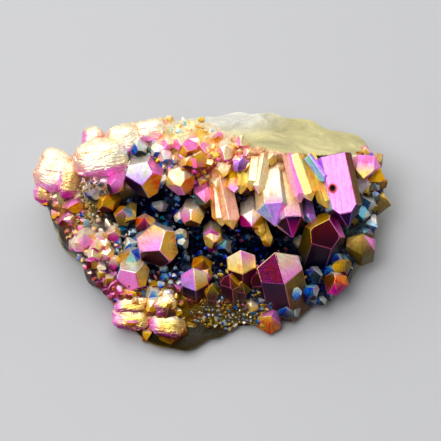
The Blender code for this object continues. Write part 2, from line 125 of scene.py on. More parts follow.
class Coat(Enum):
    """The tints of a crystal's sides: up, left, outward, right and down. The up tints are mostly pale and the
    down tints deep: partly the film's own change with direction, partly painted light on top and painted
    shade below.
    """

    RUBY = "GOLD PINK MAGENTA GOLD WINE"
    ROSE = "SILVER PINK PINK YELLOW MAGENTA"
    STRAW = "CREAM YELLOW YELLOW GOLD GOLD"
    PEACHY = "CREAM PINK CREAM YELLOW PINK"
    HONEY = "YELLOW OLIVE YELLOW ORANGE OLIVE"
    GOLDEN = "CREAM YELLOW GOLD GOLD MAROON"
    FUCHSIA = "PINK MAGENTA PINK LILAC MAGENTA"
    IVORY = "HAY CREAM HAY YELLOW PINK"
    LIME = "YELLOW YELLOW GOLD OLIVE GOLD"
    ICE = "LILAC CYAN LILAC BLUE PURPLE"
    OLIVINE = "YELLOW GOLD OLIVE OLIVE MAROON"
    AMETHYST = "PINK PURPLE PLUM GOLD NAVY"
    PALE = "WHITE CREAM CYAN WHITE BLUE"
    BUTTER = "CREAM HAY YELLOW GOLD PINK"
    EMBER = "GOLD GOLD BROWN GOLD WINE"
    CARNIVAL = "GOLD GOLD PINK CYAN OLIVE"
    CORAL = "PEACH ORANGE MAGENTA YELLOW MAROON"
    STEEL = "SILVER BLUE TEAL SILVER NAVY"
    DIAMOND = "WHITE PINK YELLOW YELLOW BROWN"
    MOSS = "PINK TEAL OLIVE OLIVE BROWN"
    SKY = "CYAN BLUE BLUE SILVER NAVY"
    FROST = "SILVER GOLD SILVER BLUE CYAN"
    GILT_PINK = "PINK GOLD GOLD ORANGE WINE"
    CRUMBLE = "PEACH GOLD HAY ORANGE MAGENTA"
    BLUSH = "WHITE MAGENTA PINK GOLD MAROON"
    ORCHID = "LILAC LILAC PURPLE PINK PURPLE"
    GARNET = "PINK MAROON WINE GOLD MAROON"
    SUNSET = "PINK YELLOW YELLOW PINK ORANGE"
    BRONZE = "GOLD BROWN GOLD BROWN MAROON"
    LEMON = "YELLOW HAY YELLOW PINK OLIVE"
    FLAME = "SILVER BROWN ORANGE ORANGE MAGENTA"
    MARZIPAN = "WHITE CREAM CREAM HAY PINK"
    SHELL = "WHITE PEACH CREAM YELLOW MAGENTA"
    BEAD = "SILVER GOLD SILVER OLIVE BROWN"
    KNOB = "CREAM PINK PEACH PEACH ORANGE"
    CRUST = "CREAM PEACH CREAM WHITE PINK"
    ROSY = "PINK HAY PINK PEACH PINK"
    GILDED = "CREAM PINK YELLOW HAY PLUM"
    RIDGE_CRUST = "CREAM PINK HAY HAY MAGENTA"
    # navy all but its top, for the druse in the hollows: partly painted shade
    MIDNIGHT = "BLUE NAVY NAVY NAVY NAVY"
    SLATE = "CYAN TEAL TEAL BROWN NAVY"

    @property
    def tints(self) -> np.ndarray:
        """The five tints as rows of linear light."""
        return np.array([Tint[name].linear for name in self.value.split()])


class FaceCoat(Enum):
    """The tints of a large crystal, face by face: at the tip's end and at the root's end of each.

    P0 to P5 are its sloping faces, S0 to S5 its sides, and ANY stands for the rest. The tints partly paint
    the light: faces turned down get deep tints as painted shade, and faces turned up pale ones as painted
    light.
    """

    EVENING = "ANY CREAM YELLOW, P5 ROSEWOOD ROSEWOOD, P0 CREAM PINK, S5 PURPLE MAROON, S0 OLIVE BROWN, " \
        "S4 PLUM NAVY"
    ROSE_RIDGE = "ANY CREAM YELLOW, P5 CREAM YELLOW, P0 PINK YELLOW, S5 MAROON MAROON, S0 WINE MAROON"
    DARK_TIP = "ANY PINK CREAM, P5 MAGENTA PURPLE, P0 PURPLE MAROON, P4 MAROON MAROON, S5 PINK CREAM, " \
        "S0 SILVER CREAM"
    LILAC_TIP = "ANY CREAM YELLOW, P5 LILAC LILAC, P4 LILAC PINK, P0 LILAC CYAN, S5 MALLOW CREAM, " \
        "S4 CYAN SILVER"
    RED_STAR = "ANY CREAM GOLD, P5 WINE MAROON, P1 MAGENTA PINK, P0 PINK MAROON, P3 GOLD OLIVE, " \
        "P4 OLIVE GOLD, S5 MAROON NAVY, S0 MAROON NAVY, S4 OLIVE MAROON"
    TRICOLOUR = "ANY SILVER CREAM, P1 MAUVE SILVER, P2 PURPLE NAVY, P3 PURPLE MAROON, P4 TEAL NAVY, " \
        "P5 GOLD ORANGE, P0 PINK MAGENTA, S0 PINK SILVER"
    RUBY_TIP = "ANY SILVER BLUE, P5 PINK AMBER, P0 PINK SILVER, P1 MAROON MAROON, P2 PINK MAGENTA, " \
        "P3 YELLOW GOLD, P4 WHITE CREAM"
    ROSE_TIP = "ANY BLUE NAVY, P5 SILVER GOLD, P0 WHITE CREAM, P1 PINK PINK, P2 MAGENTA PINK, " \
        "P3 YELLOW GOLD, P4 CREAM GOLD"
    PLATE = "ANY NAVY NAVY, P5 PURPLE PURPLE, P0 MAROON PURPLE, P4 PURPLE NAVY, S5 PINK PINK, " \
        "S0 CYAN LILAC, S4 BROWN BROWN"
    ORCHID_RIDGE = "ANY LILAC PINK, P5 PINK LILAC, P0 CREAM GOLD, S5 PURPLE NAVY, S0 MAROON PURPLE"

    @property
    def tints(self) -> np.ndarray:
        """The tints of the faces.

        Returns:
            Linear light: a row for each of P0 to P5 and S0 to S5, with the tip's end and the root's in it.
        """
        named = {}
        for entry in self.value.split(", "):
            face, tip, root = entry.split()
            named[face] = (Tint[tip].linear, Tint[root].linear)
        return np.array([named.get(letter + str(k), named["ANY"]) for letter in "PS" for k in range(6)])


EVEN = (1, 1, 1, 1, 1, 1)


class Form(Enum):
    """Where a crystal's sides stand, in half widths, and how far its sloping faces are set back."""

    UNEVEN = ((), ())
    SIX_FACED = (EVEN, (0, 0, 0, 0, 0, 0))
    BROAD_FRONT = ((1, 1, 1, 1, 1, 0.7), (0, 0, 0, 0, 0, 0))
    RIDGED = (EVEN, (0, -0.35, 0, 0, -0.35, 0))
    WIDE_RIDGED = ((1, 1.15, 1, 1, 1.1, 1), (0, -0.35, 0, 0, -0.35, 0))
    THREE_FACED = (EVEN, (0, 0.16, 0, 0.16, 0, 0.16))
    DEEP_THREE = (EVEN, (0, 0.16, 0, 0.26, 0, 0.16))


EDGE_HIGHLIGHT = 0.29  # how strongly a painted highlight pales the coat on a crystal's softened edges
FINE_WIDTH = 6.9  # wider crystals get a finer mesh, for tints that change over a face
LYING_LEAN = 55.0  # crystals that lean more show their sides, with streaks along them
# Facing up and lying high on a crystal draw its pale up tint, painted light; facing down and lying low draw
# its deep down tint, painted shade.
LOOK_SHARES = np.array((1, 1, 0.7))  # what counts toward a tint: the way a face looks, by direction
PLACE_SHARES = np.array((0.7, 1.5, 0))  # and where on the crystal it lies
LUMP_STEP_SCALE = 0.42  # broken steps on a lump for each millimetre
LUMP_STEP = 0.42  # how deep they are, in millimetres
LUMP_RIDGE = 0.11  # how deep the fine ridges on them are
PINK_TINGE = (1.0, 0.56, 0.86, 1)
YELLOW_TINGE = (1.0, 0.84, 0.36, 1)
# the near-black painted into the etch pits, as painted shade
PIT_SHADE = (0.05, 0.01, 0.05, 1)
# The directions of a coat's five tints; the up one carries painted light and the down one painted shade.
SIDES = np.array([(0, 1, 0), (-1, 0, 0), (0, 0, 1), (1, 0, 0), (0, -1, 0)], dtype=float)


def face_axes() -> tuple[Vector, Vector, Vector]:
    """The face's directions in the world.

    Returns:
        Right, up and out.
    """
    rise = math.radians(FACE_ELEVATION)
    up = Vector((0, math.sin(rise), math.cos(rise)))
    out = Vector((0, -math.cos(rise), math.sin(rise)))
    return Vector((1, 0, 0)), up, out


RIGHT, UP, OUT = face_axes()
AXES = np.array([RIGHT, UP, OUT])
FACE_TURN = Matrix((RIGHT, UP, OUT)).transposed().to_4x4()


def on_face(right: float, up: float, out: float) -> Vector:
    """The world place, in metres, of a point of the face."""
    return (Vector(FACE_MIDDLE) + RIGHT * right + UP * up + OUT * out) * MM


def face_places(points: np.ndarray) -> np.ndarray:
    """Right, up and out of world points given in metres, one row each."""
    return (points / MM - np.array(FACE_MIDDLE)) @ AXES.T


def smoothstep(low: float, high: float, values: np.ndarray) -> np.ndarray:
    """0 below low, 1 above high, and a smooth rise between."""
    share = np.clip((values - low) / (high - low), 0, 1)
    return share * share * (3 - 2 * share)


def read_rows(rows: str) -> Iterator[tuple[list[float], list[str]]]:
    """Reads a table of places.

    Args:
        rows: On each line, numbers and then names.

    Yields:
        A line's numbers and its names.
    """
    for row in rows.strip().splitlines():
        words = row.split()
        names = [word for word in words if word[0].isalpha()]
        yield [float(word) for word in words[:len(words) - len(names)]], names


def mix(first: np.ndarray, second: np.ndarray, share: np.ndarray) -> np.ndarray:
    """The first values where the share is 0, and the second ones where it is 1."""
    return first * (1 - share) + second * share


def read_values(
    elements: bpy.types.bpy_prop_collection, name: str, width: int = 1, kind: type = float
) -> np.ndarray:
    """Reads a property of a mesh's elements.

    Args:
        elements: Its vertices, corners, faces or the rows of an attribute.
        name: The property.
        width: How many numbers each has.
        kind: The numbers' type.

    Returns:
        A row for each element, or one number for each where the width is 1.
    """
    values = np.empty(len(elements) * width, dtype=kind)
    elements.foreach_get(name, values)
    return values.reshape(-1, width) if width > 1 else values


def deselect() -> None:
    """Leaves edit mode and takes every object out of the selection."""
    if bpy.context.object and bpy.context.object.mode != "OBJECT":
        bpy.ops.object.mode_set(mode="OBJECT")
    bpy.ops.object.select_all(action="DESELECT")


def edit_all() -> None:
    """Opens the active mesh for editing, with all of it selected."""
    bpy.ops.object.mode_set(mode="EDIT")
    bpy.ops.mesh.select_all(action="SELECT")


def cut_flat(normal: Vector, distance: float, threshold: float) -> None:
    """Cuts off what lies past a plane, in the mesh that is being edited.

    Args:
        normal: The direction in which the plane looks.
        distance: How far it lies from the origin.
        threshold: How near to it a vertex counts as on it.
    """
    bpy.ops.mesh.select_all(action="SELECT")
    bpy.ops.mesh.bisect(
        plane_co=normal * distance, plane_no=normal, use_fill=True, clear_outer=True, threshold=threshold
    )


def soften_edges(width: float) -> None:
    """Bevels all edges of the mesh that is being edited, and gives the new faces its second slot."""
    bpy.ops.mesh.select_all(action="SELECT")
    bpy.ops.mesh.bevel(offset=width, segments=1, affect="EDGES", clamp_overlap=True, material=1)


def join(pieces: list[bpy.types.Object], name: str) -> bpy.types.Object:
    """Joins meshes in one piece.

    Args:
        pieces: The objects to join.
        name: What the piece is called.

    Returns:
        The joined piece.
    """
    deselect()
    for piece in pieces:
        piece.select_set(True)
    bpy.context.view_layer.objects.active = pieces[0]
    bpy.ops.object.join()
    pieces[0].name = pieces[0].data.name = name
    edit_all()
    bpy.ops.mesh.bisect(
        plane_co=(0, 0, 0), plane_no=(0, 0, 1), use_fill=True, clear_inner=True, threshold=1e-7
    )
    bpy.ops.object.mode_set(mode="OBJECT")
    return pieces[0]


@dataclass(frozen=True)
class Patch:
    """An oval stretch of the crystal face."""

    right: float
    up: float
    reach_right: float
    reach_up: float

    def cover(self, places: np.ndarray, full: float, gone: float) -> np.ndarray:
        """How much the patch covers places of the face.

        Args:
            places: Right, up and out, one row each.
            full: It covers all up to this share of its reach.
            gone: It covers nothing from this share on.

        Returns:
            A share for each place.
        """
        sideways = (places[:, 0] - self.right) / self.reach_right
        upward = (places[:, 1] - self.up) / self.reach_up
        return 1 - smoothstep(full, gone, np.hypot(sideways, upward))


@dataclass(frozen=True)
class Swell(Patch):
    """A rounded rise of the matrix, or a hollow where the height is negative."""

    height: float


@dataclass(frozen=True)
class Zone(Patch):
    """A soft patch of the matrix where one tint prevails."""

    weight: float
    tint: Tint


# Swells, one a line: right, up, reach right, reach up and height.
SWELLS = """
-28 17 13 7 4.5
0 19 14 6 7.0
19 19.5 16 4.5 8.0
10 -2 13 4.5 -7.0
-5 5 4 8 -6.0
-18 7 7 3 -5.5
5 -17 22 7 5.0
-22 -17 9 8 4.5
-30 -2 7 7 4.0
-17 -10 2.5 7 -4.0
33 15 2 5 -4.0
26 -5 5 4 -3.0
"""

# Zones of the matrix, one a line: right, up, reach right, reach up, weight and tint. The NAVY zones lie in
# the hollows and gaps, and their navy is partly painted shade.
ZONES = """
0 0 40 15 0.6 NAVY
-28.5 17.6 11 6 2.0 CREAM
-28 13.6 9 2 1.5 PINK
-40 14 7 7 2.0 CREAM
-17 24.6 8 4 2.0 CREAM
-3 26 14 3.4 3.0 CREAM
-35 17.4 1.2 3.0 3.0 BLUE
-6 20 10 4 1.2 YELLOW
0 15 9 4 0.9 MAGENTA
3 18 9 3 1.2 GOLD
10 22 9 3 1.5 PEACH
4 9 4 6 0.5 GOLD
-11.5 15 4 2.5 1.0 BLUE
-17.5 20 4 3 3.0 NAVY
-31 6.4 6 6 0.8 OLIVE
-25 6.5 4 3.5 2.0 NAVY
-39 4.5 6 4 1.2 GOLD
-38 0.5 5 3 1.5 MAROON
-29 -4 6 5 0.4 SILVER
-32 -10 4 6 2.5 MAROON
-21 -5 4 5 0.4 TEAL
-25 -19 5 7 0.9 MAGENTA
-19 -21 8 5 1.2 GOLD
-12 -20 7 5 1.2 BROWN
3 -20 14 4 0.5 OLIVE
14 -17 10 5 0.8 NAVY
29 -9 9 9 0.8 NAVY
39 5 8 8 0.7 TEAL
40 15 6 6 1.2 GOLD
33 15 2 5 3.0 NAVY
"""


@dataclass
class Chunk:
    """The milky quartz chunk that the crystals grew on."""

    segments: int = 330
    rings: int = 200
    rim_mean_height: float = 9.0
    rim_height_swing: float = 7.0
    floor: float = -4.5  # how far out the face stands between its swells
    slab_edge_out: float = 2.5
    slab_slope: float = 2.1
    slab_edge_up: float = 24.2
    slab_edge_fall: float = 0.21
    undercut: float = 0.75
    chip_size: float = 11.0
    chip_depth: float = 4.0
    chip_start: float = 4.0
    chip_level: float = 0.55
    coat_below_rim: float = 2.5  # how far the coat runs over the rim, on average
    stone_below: float = -23.0  # the coat ends about here at the front
    crumbs: tuple[tuple[float, float], ...] = ((3.1, 0.9), (1.4, 0.45))  # sizes and depths of its steps
    dark_depths: tuple[float, float] = (4.0, 9.5)  # painted navy shade deepens over the ground between these depths
    dark_up_to: float = 13.0  # and no further up or down than this
    # painted navy shade over the face's middle hollow
    dark_middle: Patch = Patch(-6, 0.5, 22, 14)
    frosted: Patch = Patch(3, 29, 17, 6)  # the slab's paler corner
    pale_from: tuple[float, float] = (-20.0, 8.0)  # painted shade on the bare stone fades upward between these places
    reach: tuple[float, ...] = (
        40.0, 43.8, 44.2, 37.6, 33.5, 30.7, 28.8, 28.8, 31.3, 34.8, 40.0, 44.6,
        38.7, 33.4, 30.8, 31.2, 31.8, 30.5, 26.5, 24.0, 26.5, 26.6, 33.0, 35.5,
    )
    swells: tuple[Swell, ...] = tuple(Swell(*numbers) for numbers, _ in read_rows(SWELLS))
    zones: tuple[Zone, ...] = tuple(Zone(*numbers, Tint[names[0]]) for numbers, names in read_rows(ZONES))
    object: bpy.types.Object | None = None

    def reach_at(self, angle: float) -> float:
        """How far the matrix reaches from the middle of the face.

        Args:
            angle: The direction in the face, in radians from the right.

        Returns:
            The reach in millimetres.
        """
        turn = (angle / math.tau) % 1.0 * len(self.reach)
        k = int(turn)
        blend = (1 - math.cos(math.pi * (turn - k))) / 2
        return self.reach[k % len(self.reach)] * (1 - blend) + self.reach[(k + 1) % len(self.reach)] * blend

    def rim_out(self, angle: float, up: float) -> float:
        """How far out the matrix's widest line lies.

        Args:
            angle: The direction in the face, in radians from the right.
            up: Place on the face.

        Returns:
            The distance out in millimetres.
        """
        rise = math.radians(FACE_ELEVATION)
        height = self.rim_mean_height + self.rim_height_swing * math.sin(angle)
        return (height - FACE_MIDDLE[2] - up * math.cos(rise)) / math.sin(rise)

    def slab_at(self, right: float, up: float) -> float:
        """How far out the bare slab's plane stands at a place."""
        return self.slab_edge_out - self.slab_slope * (up - self.slab_edge_up + self.slab_edge_fall * right)

    def relief(self, right: float, up: float) -> float:
        """How far out the matrix's face stands, without its fine relief.

        Args:
            right: Place on the face.
            up: Place on the face.

        Returns:
            The distance out in millimetres.
        """
        out = self.floor
        for s in self.swells:
            sideways, upward = (right - s.right) / s.reach_right, (up - s.up) / s.reach_up
            out += s.height * math.exp(-sideways * sideways - upward * upward)
        rough = 0.9 * noise.noise(Vector((right * 0.16, up * 0.16, 3.0)))
        return min(out + rough, self.slab_at(right, up))

    def skin_out(self, right: float, up: float) -> float | None:
        """How far out the matrix's surface stands, from its middle to its rim.

        Args:
            right: Place on the face.
            up: Place on the face.

        Returns:
            The distance out in millimetres, or None past the rim.
        """
        angle = math.atan2(up, right)
        reach = self.reach_at(angle)
        spread = math.hypot(right, up) / reach
        if spread > 1:
            return None
        rim = self.rim_out(angle, reach * math.sin(angle))
        return rim + (self.relief(right, up) - rim) * (1 - spread**5) ** 0.5

    def crumble(self, right: float, up: float) -> float:
        """The small broken steps of the coated face.

        Args:
            right: Place on the face.
            up: Place on the face.

        Returns:
            How far the surface stands out or in, in millimetres.
        """
        total = 0.0
        for size, depth in self.crumbs:
            place = Vector((right / size, up / size, size))
            _, centres = noise.voronoi(place)
            offset = place - centres[0]
            tilt = noise.noise_vector(centres[0] * 7.3)
            total += depth * (noise.noise(centres[0] * 5.1) + tilt.dot(offset) * 1.2)
        return total

    def point(self, direction: Vector) -> tuple[Vector, float]:
        """Where a point of the unit sphere goes on the matrix.

        Args:
            direction: The point on the sphere.

        Returns:
            Its place in metres, and how bare it is, from 0 to 1.
        """
        angle = math.atan2(direction.y, direction.x)
        spread = math.hypot(direction.x, direction.y)
        reach = self.reach_at(angle)
        rim_right, rim_up = reach * math.cos(angle), reach * math.sin(angle)
        if direction.z >= 0:
            right, up = rim_right * spread * 0.99999, rim_up * spread * 0.99999
            out = self.skin_out(right, up)
            bare = min(1.0, max(0.0, 1.5 + (self.relief(right, up) + 0.3 - self.slab_at(right, up)) * 2))
            edge_up = self.slab_edge_up - self.slab_edge_fall * right + 0.4 * max(0.0, 4.0 - right)
            bare = max(bare, min(1.0, max(0.0, (up - edge_up) * 1.5)))
            ragged = 1.5 * noise.noise(Vector((right * 0.4, up * 0.4, 1.0)))
            bare = bare if up > 8 else min(1.0, max(0.0, self.stone_below + ragged - up))
            inward = (1 - spread**8) * (1 - bare)
            grain = 0.10 * noise.fractal(Vector((right, up, 0)) * 0.9, 0.6, 2.0, 4)
            return on_face(right, up, out + self.crumble(right, up) * inward + grain * bare), bare
        edge = on_face(rim_right, rim_up, self.rim_out(angle, rim_up))
        shrink = spread**0.3
        drop = (edge.z + 6 * MM) * (-direction.z) ** 0.8
        tuck = self.undercut * drop * max(0.0, -math.sin(angle))
        place = Vector((edge.x * shrink, edge.y * shrink + tuck, edge.z - drop))
        ragged = 3.0 * noise.noise(Vector((edge.x, edge.y, 0)) / MM * 0.25)
        bare = 1.0 if math.sin(angle) > 0.45 else drop / MM - self.coat_below_rim - ragged
        return self.fractured(place, min(1.0, drop / (self.chip_start * MM))), min(1.0, max(0.0, bare))

    def fractured(self, point: Vector, share: float) -> Vector:
        """A point of the broken sides with its flat chips, ridges and grain.

        Args:
            point: The place in metres.
            share: How much of the chips' depth it takes.

        Returns:
            The moved place.
        """
        distances, _ = noise.voronoi(point / (self.chip_size * MM))
        small, _ = noise.voronoi(point / (self.chip_size * 0.28 * MM))
        depth = (distances[0] - self.chip_level) * self.chip_depth + (small[0] - 0.5) * 0.55
        depth += 0.2 * noise.fractal(point / MM * 0.8, 0.6, 2.0, 3)
        outward = Vector((point.x, point.y, 0)).normalized()
        return point + outward * depth * share * MM

    def tints_at(self, places: np.ndarray) -> np.ndarray:
        """The prevailing tint of the coated matrix at places of the face.

        Args:
            places: Right, up and out, one row each.

        Returns:
            Linear colours, one row each.
        """
        total = np.zeros((len(places), 3))
        weights = np.full((len(places), 1), 1e-6)
        for z in self.zones:
            sideways, upward = (places[:, 0] - z.right) / z.reach_right, (places[:, 1] - z.up) / z.reach_up
            weight = z.weight * np.exp(-sideways**2 - upward**2)[:, None]
            total += weight * z.tint.linear
            weights += weight
        return total / weights

    def build(self) -> bpy.types.Object:
        """Shapes the chunk from a sphere whose pole looks out of the face.

        Returns:
            The chunk's object.
        """
        deselect()
        bpy.ops.mesh.primitive_uv_sphere_add(segments=self.segments, ring_count=self.rings, radius=1)
        self.object = bpy.context.object
        self.object.name = self.object.data.name = "quartz_matrix"
        mesh = self.object.data
        bare = mesh.attributes.new("bare", "FLOAT", "POINT")
        for vert in mesh.vertices:
            vert.co, bare.data[vert.index].value = self.point(vert.co)
        edit_all()
        bpy.ops.mesh.bisect(plane_co=(0, 0, 0), plane_no=(0, 0, 1), use_fill=True, clear_inner=True)
        bpy.ops.mesh.select_all(action="SELECT")
        bpy.ops.mesh.normals_make_consistent(inside=False)
        bpy.ops.object.mode_set(mode="OBJECT")
        bpy.ops.object.shade_smooth_by_angle(angle=math.radians(32))
        return self.object

    def dress(self, coated: bpy.types.Material, milky: bpy.types.Material) -> None:
        """Paints the chunk: coated on its face, bare on the slab, the sides and the back, with painted navy
        shade in the face's deep places and middle hollow, and painted shade deepening the bare stone low
        down.

        Args:
            coated: The coat's material.
            milky: The bare stone's material.
        """
        mesh = self.object.data
        mesh.materials.append(coated)
        mesh.materials.append(milky)
        places = face_places(read_values(mesh.vertices, "co", 3))
        bare = read_values(mesh.attributes["bare"].data, "value")
        # Painted shade: the deep places and the middle hollow of the face turn navy.
        sunk = smoothstep(*self.dark_depths, -places[:, 2]) * (np.abs(places[:, 1]) < self.dark_up_to)
        painted_shade = np.maximum(sunk, self.dark_middle.cover(places, 0.75, 1.1))[:, None]
        ground = mix(self.tints_at(places), Tint.NAVY.linear, painted_shade)
        # Painted shade: the bare stone is deep brown low down and milky higher up.
        pale = smoothstep(*self.pale_from, places[:, 1])[:, None]
        frost = self.frosted.cover(places, 0.2, 1.1)[:, None]
        stone = mix(mix(Tint.LOAM.linear, Tint.MILKY.linear, pale), Tint.FROST.linear, frost)
        paint(mesh, np.where(bare[:, None] > 0.5, stone, ground), "POINT")
        for polygon in mesh.polygons:
            shares = [bare[k] for k in polygon.vertices]
            polygon.material_index = int(sum(shares) / len(shares) > 0.5)


def mark_slots(mesh: bpy.types.Mesh) -> None:
    """Gives a mesh two empty slots, so that its softened edges can be told from its faces."""
    mesh.materials.append(None)
    mesh.materials.append(None)


def paint(mesh: bpy.types.Mesh, colours: np.ndarray, domain: str, pitted: np.ndarray | float = 0.0) -> None:
    """Writes the coat's colours on a mesh, and how pitted it is beside them.

    Args:
        mesh: The mesh to paint.
        colours: Linear colours, one row for each point or corner.
        domain: "POINT" or "CORNER".
        pitted: From 0 to 1, for each row or for all.
    """
    layer = mesh.color_attributes.get("coat") or mesh.color_attributes.new("coat", "FLOAT_COLOR", domain)
    rows = np.concatenate([np.clip(colours, 0, 1), np.full(len(colours), pitted)[:, None]], axis=1)
    layer.data.foreach_set("color", rows.ravel().astype(np.float32))


@dataclass
class Corners:
    """The corners of a mesh's faces, in the crystal face's own axes."""

    places: np.ndarray  # right, up and out of each
    looks: np.ndarray  # the direction in which its face looks
    edges: np.ndarray  # 1 on the softened edges

    @classmethod
    def of(cls, mesh: bpy.types.Mesh) -> "Corners":
        """Reads the corners of a mesh that is in its place.

        Args:
            mesh: The mesh.

        Returns:
            Its corners.
        """
        places = face_places(read_values(mesh.vertices, "co", 3))
        looks = read_values(mesh.polygons, "normal", 3) @ AXES.T
        counts = read_values(mesh.polygons, "loop_total", kind=np.int32)
        edges = read_values(mesh.polygons, "material_index", kind=np.int32)
        owners = read_values(mesh.loops, "vertex_index", kind=np.int32)
        return cls(places[owners], np.repeat(looks, counts, axis=0), np.repeat(edges, counts))


@dataclass(frozen=True)
class Crystal:
    """One quartz point: where its tip is, which way it leans, its size and its coat."""

    right: float
    up: float
    out: float
    toward: float  # direction of the lean in the face, counter-clockwise from the right
    lean: float  # angle between the crystal and the face's axis
    width: float  # between opposite sides
    twist: float = 0.0  # turn about its own axis; at 0 an edge is uppermost
    trigonal: float = 0.12  # how far every second sloping face is set back, as a share of the width
    coat: Coat | FaceCoat = Coat.GOLDEN
    form: Form = Form.UNEVEN

    @property
    def tip(self) -> tuple[float, float, float]:
        """Right, up and out of its tip."""
        return self.right, self.up, self.out

    def frame(self) -> Matrix:
        """Stands the crystal on the face, with its first side outward.

        Returns:
            The turn from its own axes to the world's.
        """
        toward, lean = math.radians(self.toward), math.radians(self.lean)
        axis = (RIGHT * math.cos(toward) + UP * math.sin(toward)) * math.sin(lean) + OUT * math.cos(lean)
        first = (OUT - axis * OUT.dot(axis)).normalized()
        return Matrix((first, axis.cross(first), axis)).transposed().to_4x4()

    def planes(self, chance: random.Random) -> Iterator[tuple[Vector, float]]:
        """The outward directions and distances from the tip of its twelve uneven faces.

        Args:
            chance: Source of the unevenness.

        Yields:
            A direction and a distance in millimetres.
        """
        slope = math.radians(POINT_SLOPE)
        sides, setbacks = self.form.value
        for k in range(6):
            turn = math.radians(self.twist + 30 + 60 * k)
            side = Vector((math.cos(turn), math.sin(turn), 0))
            spread = chance.uniform(0.84, 1.16)
            yield side, self.width / 2 * (sides[k] if sides else spread)
            facing = side * math.sin(slope) + Vector((0, 0, math.cos(slope)))
            setback = chance.uniform(0, 0.15) + self.trigonal * (k % 2)
            yield facing, -self.width * (setbacks[k] if setbacks else setback)

    def length(self, chunk: Chunk) -> float:
        """How long it is, from its tip to where its root is deep enough in the chunk.

        Args:
            chunk: The chunk that it stands on.

        Returns:
            The length in millimetres.
        """
        axis = self.frame().col[2].to_3d()
        wanted = 1.0 + 0.3 * self.width
        best_length, best_depth = self.width, -100.0
        for step in range(36):
            length = self.width * 0.8 + step / 2
            surface = chunk.skin_out(self.right - length * axis.dot(RIGHT), self.up - length * axis.dot(UP))
            if surface is None:
                continue
            depth = surface - (self.out - length * axis.dot(OUT))
            if depth < best_depth and best_depth > 0.5:
                break
            if depth > best_depth:
                best_length, best_depth = length, depth
            if depth > wanted:
                break
        return best_length

    def build(self, chunk: Chunk, chance: random.Random) -> bpy.types.Object:
        """Cuts the point from a block, softens its edges and divides its faces for the coat.

        Args:
            chunk: The chunk that it stands on.
            chance: Source of its unevenness.

        Returns:
            The crystal, in its place.
        """
        length = self.length(chunk)
        planes = list(self.planes(chance))
        bpy.ops.object.select_all(action="DESELECT")
        bpy.ops.mesh.primitive_cube_add(size=1)
        crystal = bpy.context.object
        mark_slots(crystal.data)
        edit_all()
        bpy.ops.transform.resize(value=(self.width * 1.6, self.width * 1.6, length))
        bpy.ops.transform.translate(value=(0, 0, -length / 2))
        for normal, distance in planes:
            cut_flat(normal, distance, 1e-5)
        soften_edges(min(0.16, 0.028 * self.width))
        bpy.ops.mesh.select_all(action="SELECT")
        bpy.ops.mesh.poke()
        bpy.ops.mesh.subdivide(number_cuts=3 if self.width > FINE_WIDTH else 1)
        bpy.ops.object.mode_set(mode="OBJECT")
        mesh = crystal.data
        peak = max(vert.co.z for vert in mesh.vertices)
        self.trace_growth(mesh, peak)
        tip = Matrix.Translation(on_face(*self.tip))
        mesh.transform(tip @ self.frame() @ Matrix.Scale(MM, 4) @ Matrix.Translation((0, 0, -peak)))
        mesh.update()
        self.paint(mesh, chunk)
        return crystal

    def trace_growth(self, mesh: bpy.types.Mesh, peak: float) -> None:
        """Notes on each point how far along and around the crystal it lies, for the growth lines.

        Args:
            mesh: The crystal's mesh, with its axis upright.
            peak: The height of its tip.
        """
        layer = mesh.attributes.new("growth", "FLOAT_VECTOR", "POINT")
        apart = self.right * 3.7 + self.up * 1.9
        for vert in mesh.vertices:
            around, along = math.atan2(vert.co.y, vert.co.x) * self.width / 2, peak - vert.co.z
            if self.lean > LYING_LEAN:
                along, around = 0.5 * around + 0.06 * along, 0.8 * around + 0.1 * along
            layer.data[vert.index].vector = (along, around, apart)

    def face_tints(self, corners: Corners) -> tuple[np.ndarray, np.ndarray]:
        """The tints of a crystal that has its own for each face.

        Args:
            corners: The corners of its mesh.

        Returns:
            A colour for each corner, and how pitted the crystal is there.
        """
        slope = math.radians(POINT_SLOPE)
        turns = np.radians(self.twist + 30 + 60 * np.arange(6))
        sides = np.stack([np.cos(turns), np.sin(turns), np.zeros(6)], axis=1)
        slopes = sides * math.sin(slope) + np.array([0, 0, math.cos(slope)])
        in_face = AXES @ np.array(self.frame().to_3x3())
        looks = corners.looks @ in_face
        nearest = np.argmax(looks @ np.concatenate([slopes, sides]).T, axis=1)
        nearest[looks[:, 2] < -0.7] = 9  # the root's broken end has one colour
        away = (corners.places - np.array(self.tip)) / self.width
        distance = np.hypot(0.5 * away[:, 0], away[:, 1])
        share = smoothstep(0, 1, np.where(nearest < 6, distance / 0.75, (distance - 0.4) / 1.1))[:, None]
        tints = self.coat.tints[nearest]
        pitted = (nearest == 5) * float(self.coat is FaceCoat.EVENING)
        return mix(tints[:, 0], tints[:, 1], share), pitted

    def paint(self, mesh: bpy.types.Mesh, chunk: Chunk) -> None:
        """Lays the crystal's coat on it.

        Args:
            mesh: The crystal's mesh, in its place.
            chunk: The chunk that it stands on.
        """
        corners = Corners.of(mesh)
        if isinstance(self.coat, FaceCoat):
            colours, pitted = self.face_tints(corners)
        else:
            colours, pitted = side_tints(corners, self.coat.tints, self.tip, self.width), 0.0
        lay_coat(mesh, corners, colours, self.width, chunk, pitted)


def side_tints(
    corners: Corners, tints: np.ndarray, tip: tuple[float, float, float], width: float
) -> np.ndarray:
    """The tints of a crystal by the way its faces look and where they lie: paler on top as painted light,
    deeper below as painted shade.

    Args:
        corners: The corners of its mesh.
        tints: The tints of its sides, as rows.
        tip: The place of its tip on the face.
        width: Its width in millimetres.

    Returns:
        A colour for each corner.
    """
    shift = (corners.places - np.array(tip)) / width
    shift[:, 2] = 0
    leaning = corners.looks * LOOK_SHARES + np.clip(shift * PLACE_SHARES, -1.0, 1.0)
    leaning /= np.linalg.norm(leaning, axis=1, keepdims=True)
    weights = np.clip(leaning @ SIDES.T, 0, 1) ** 4 + 1e-4
    return (weights @ tints) / weights.sum(axis=1, keepdims=True)


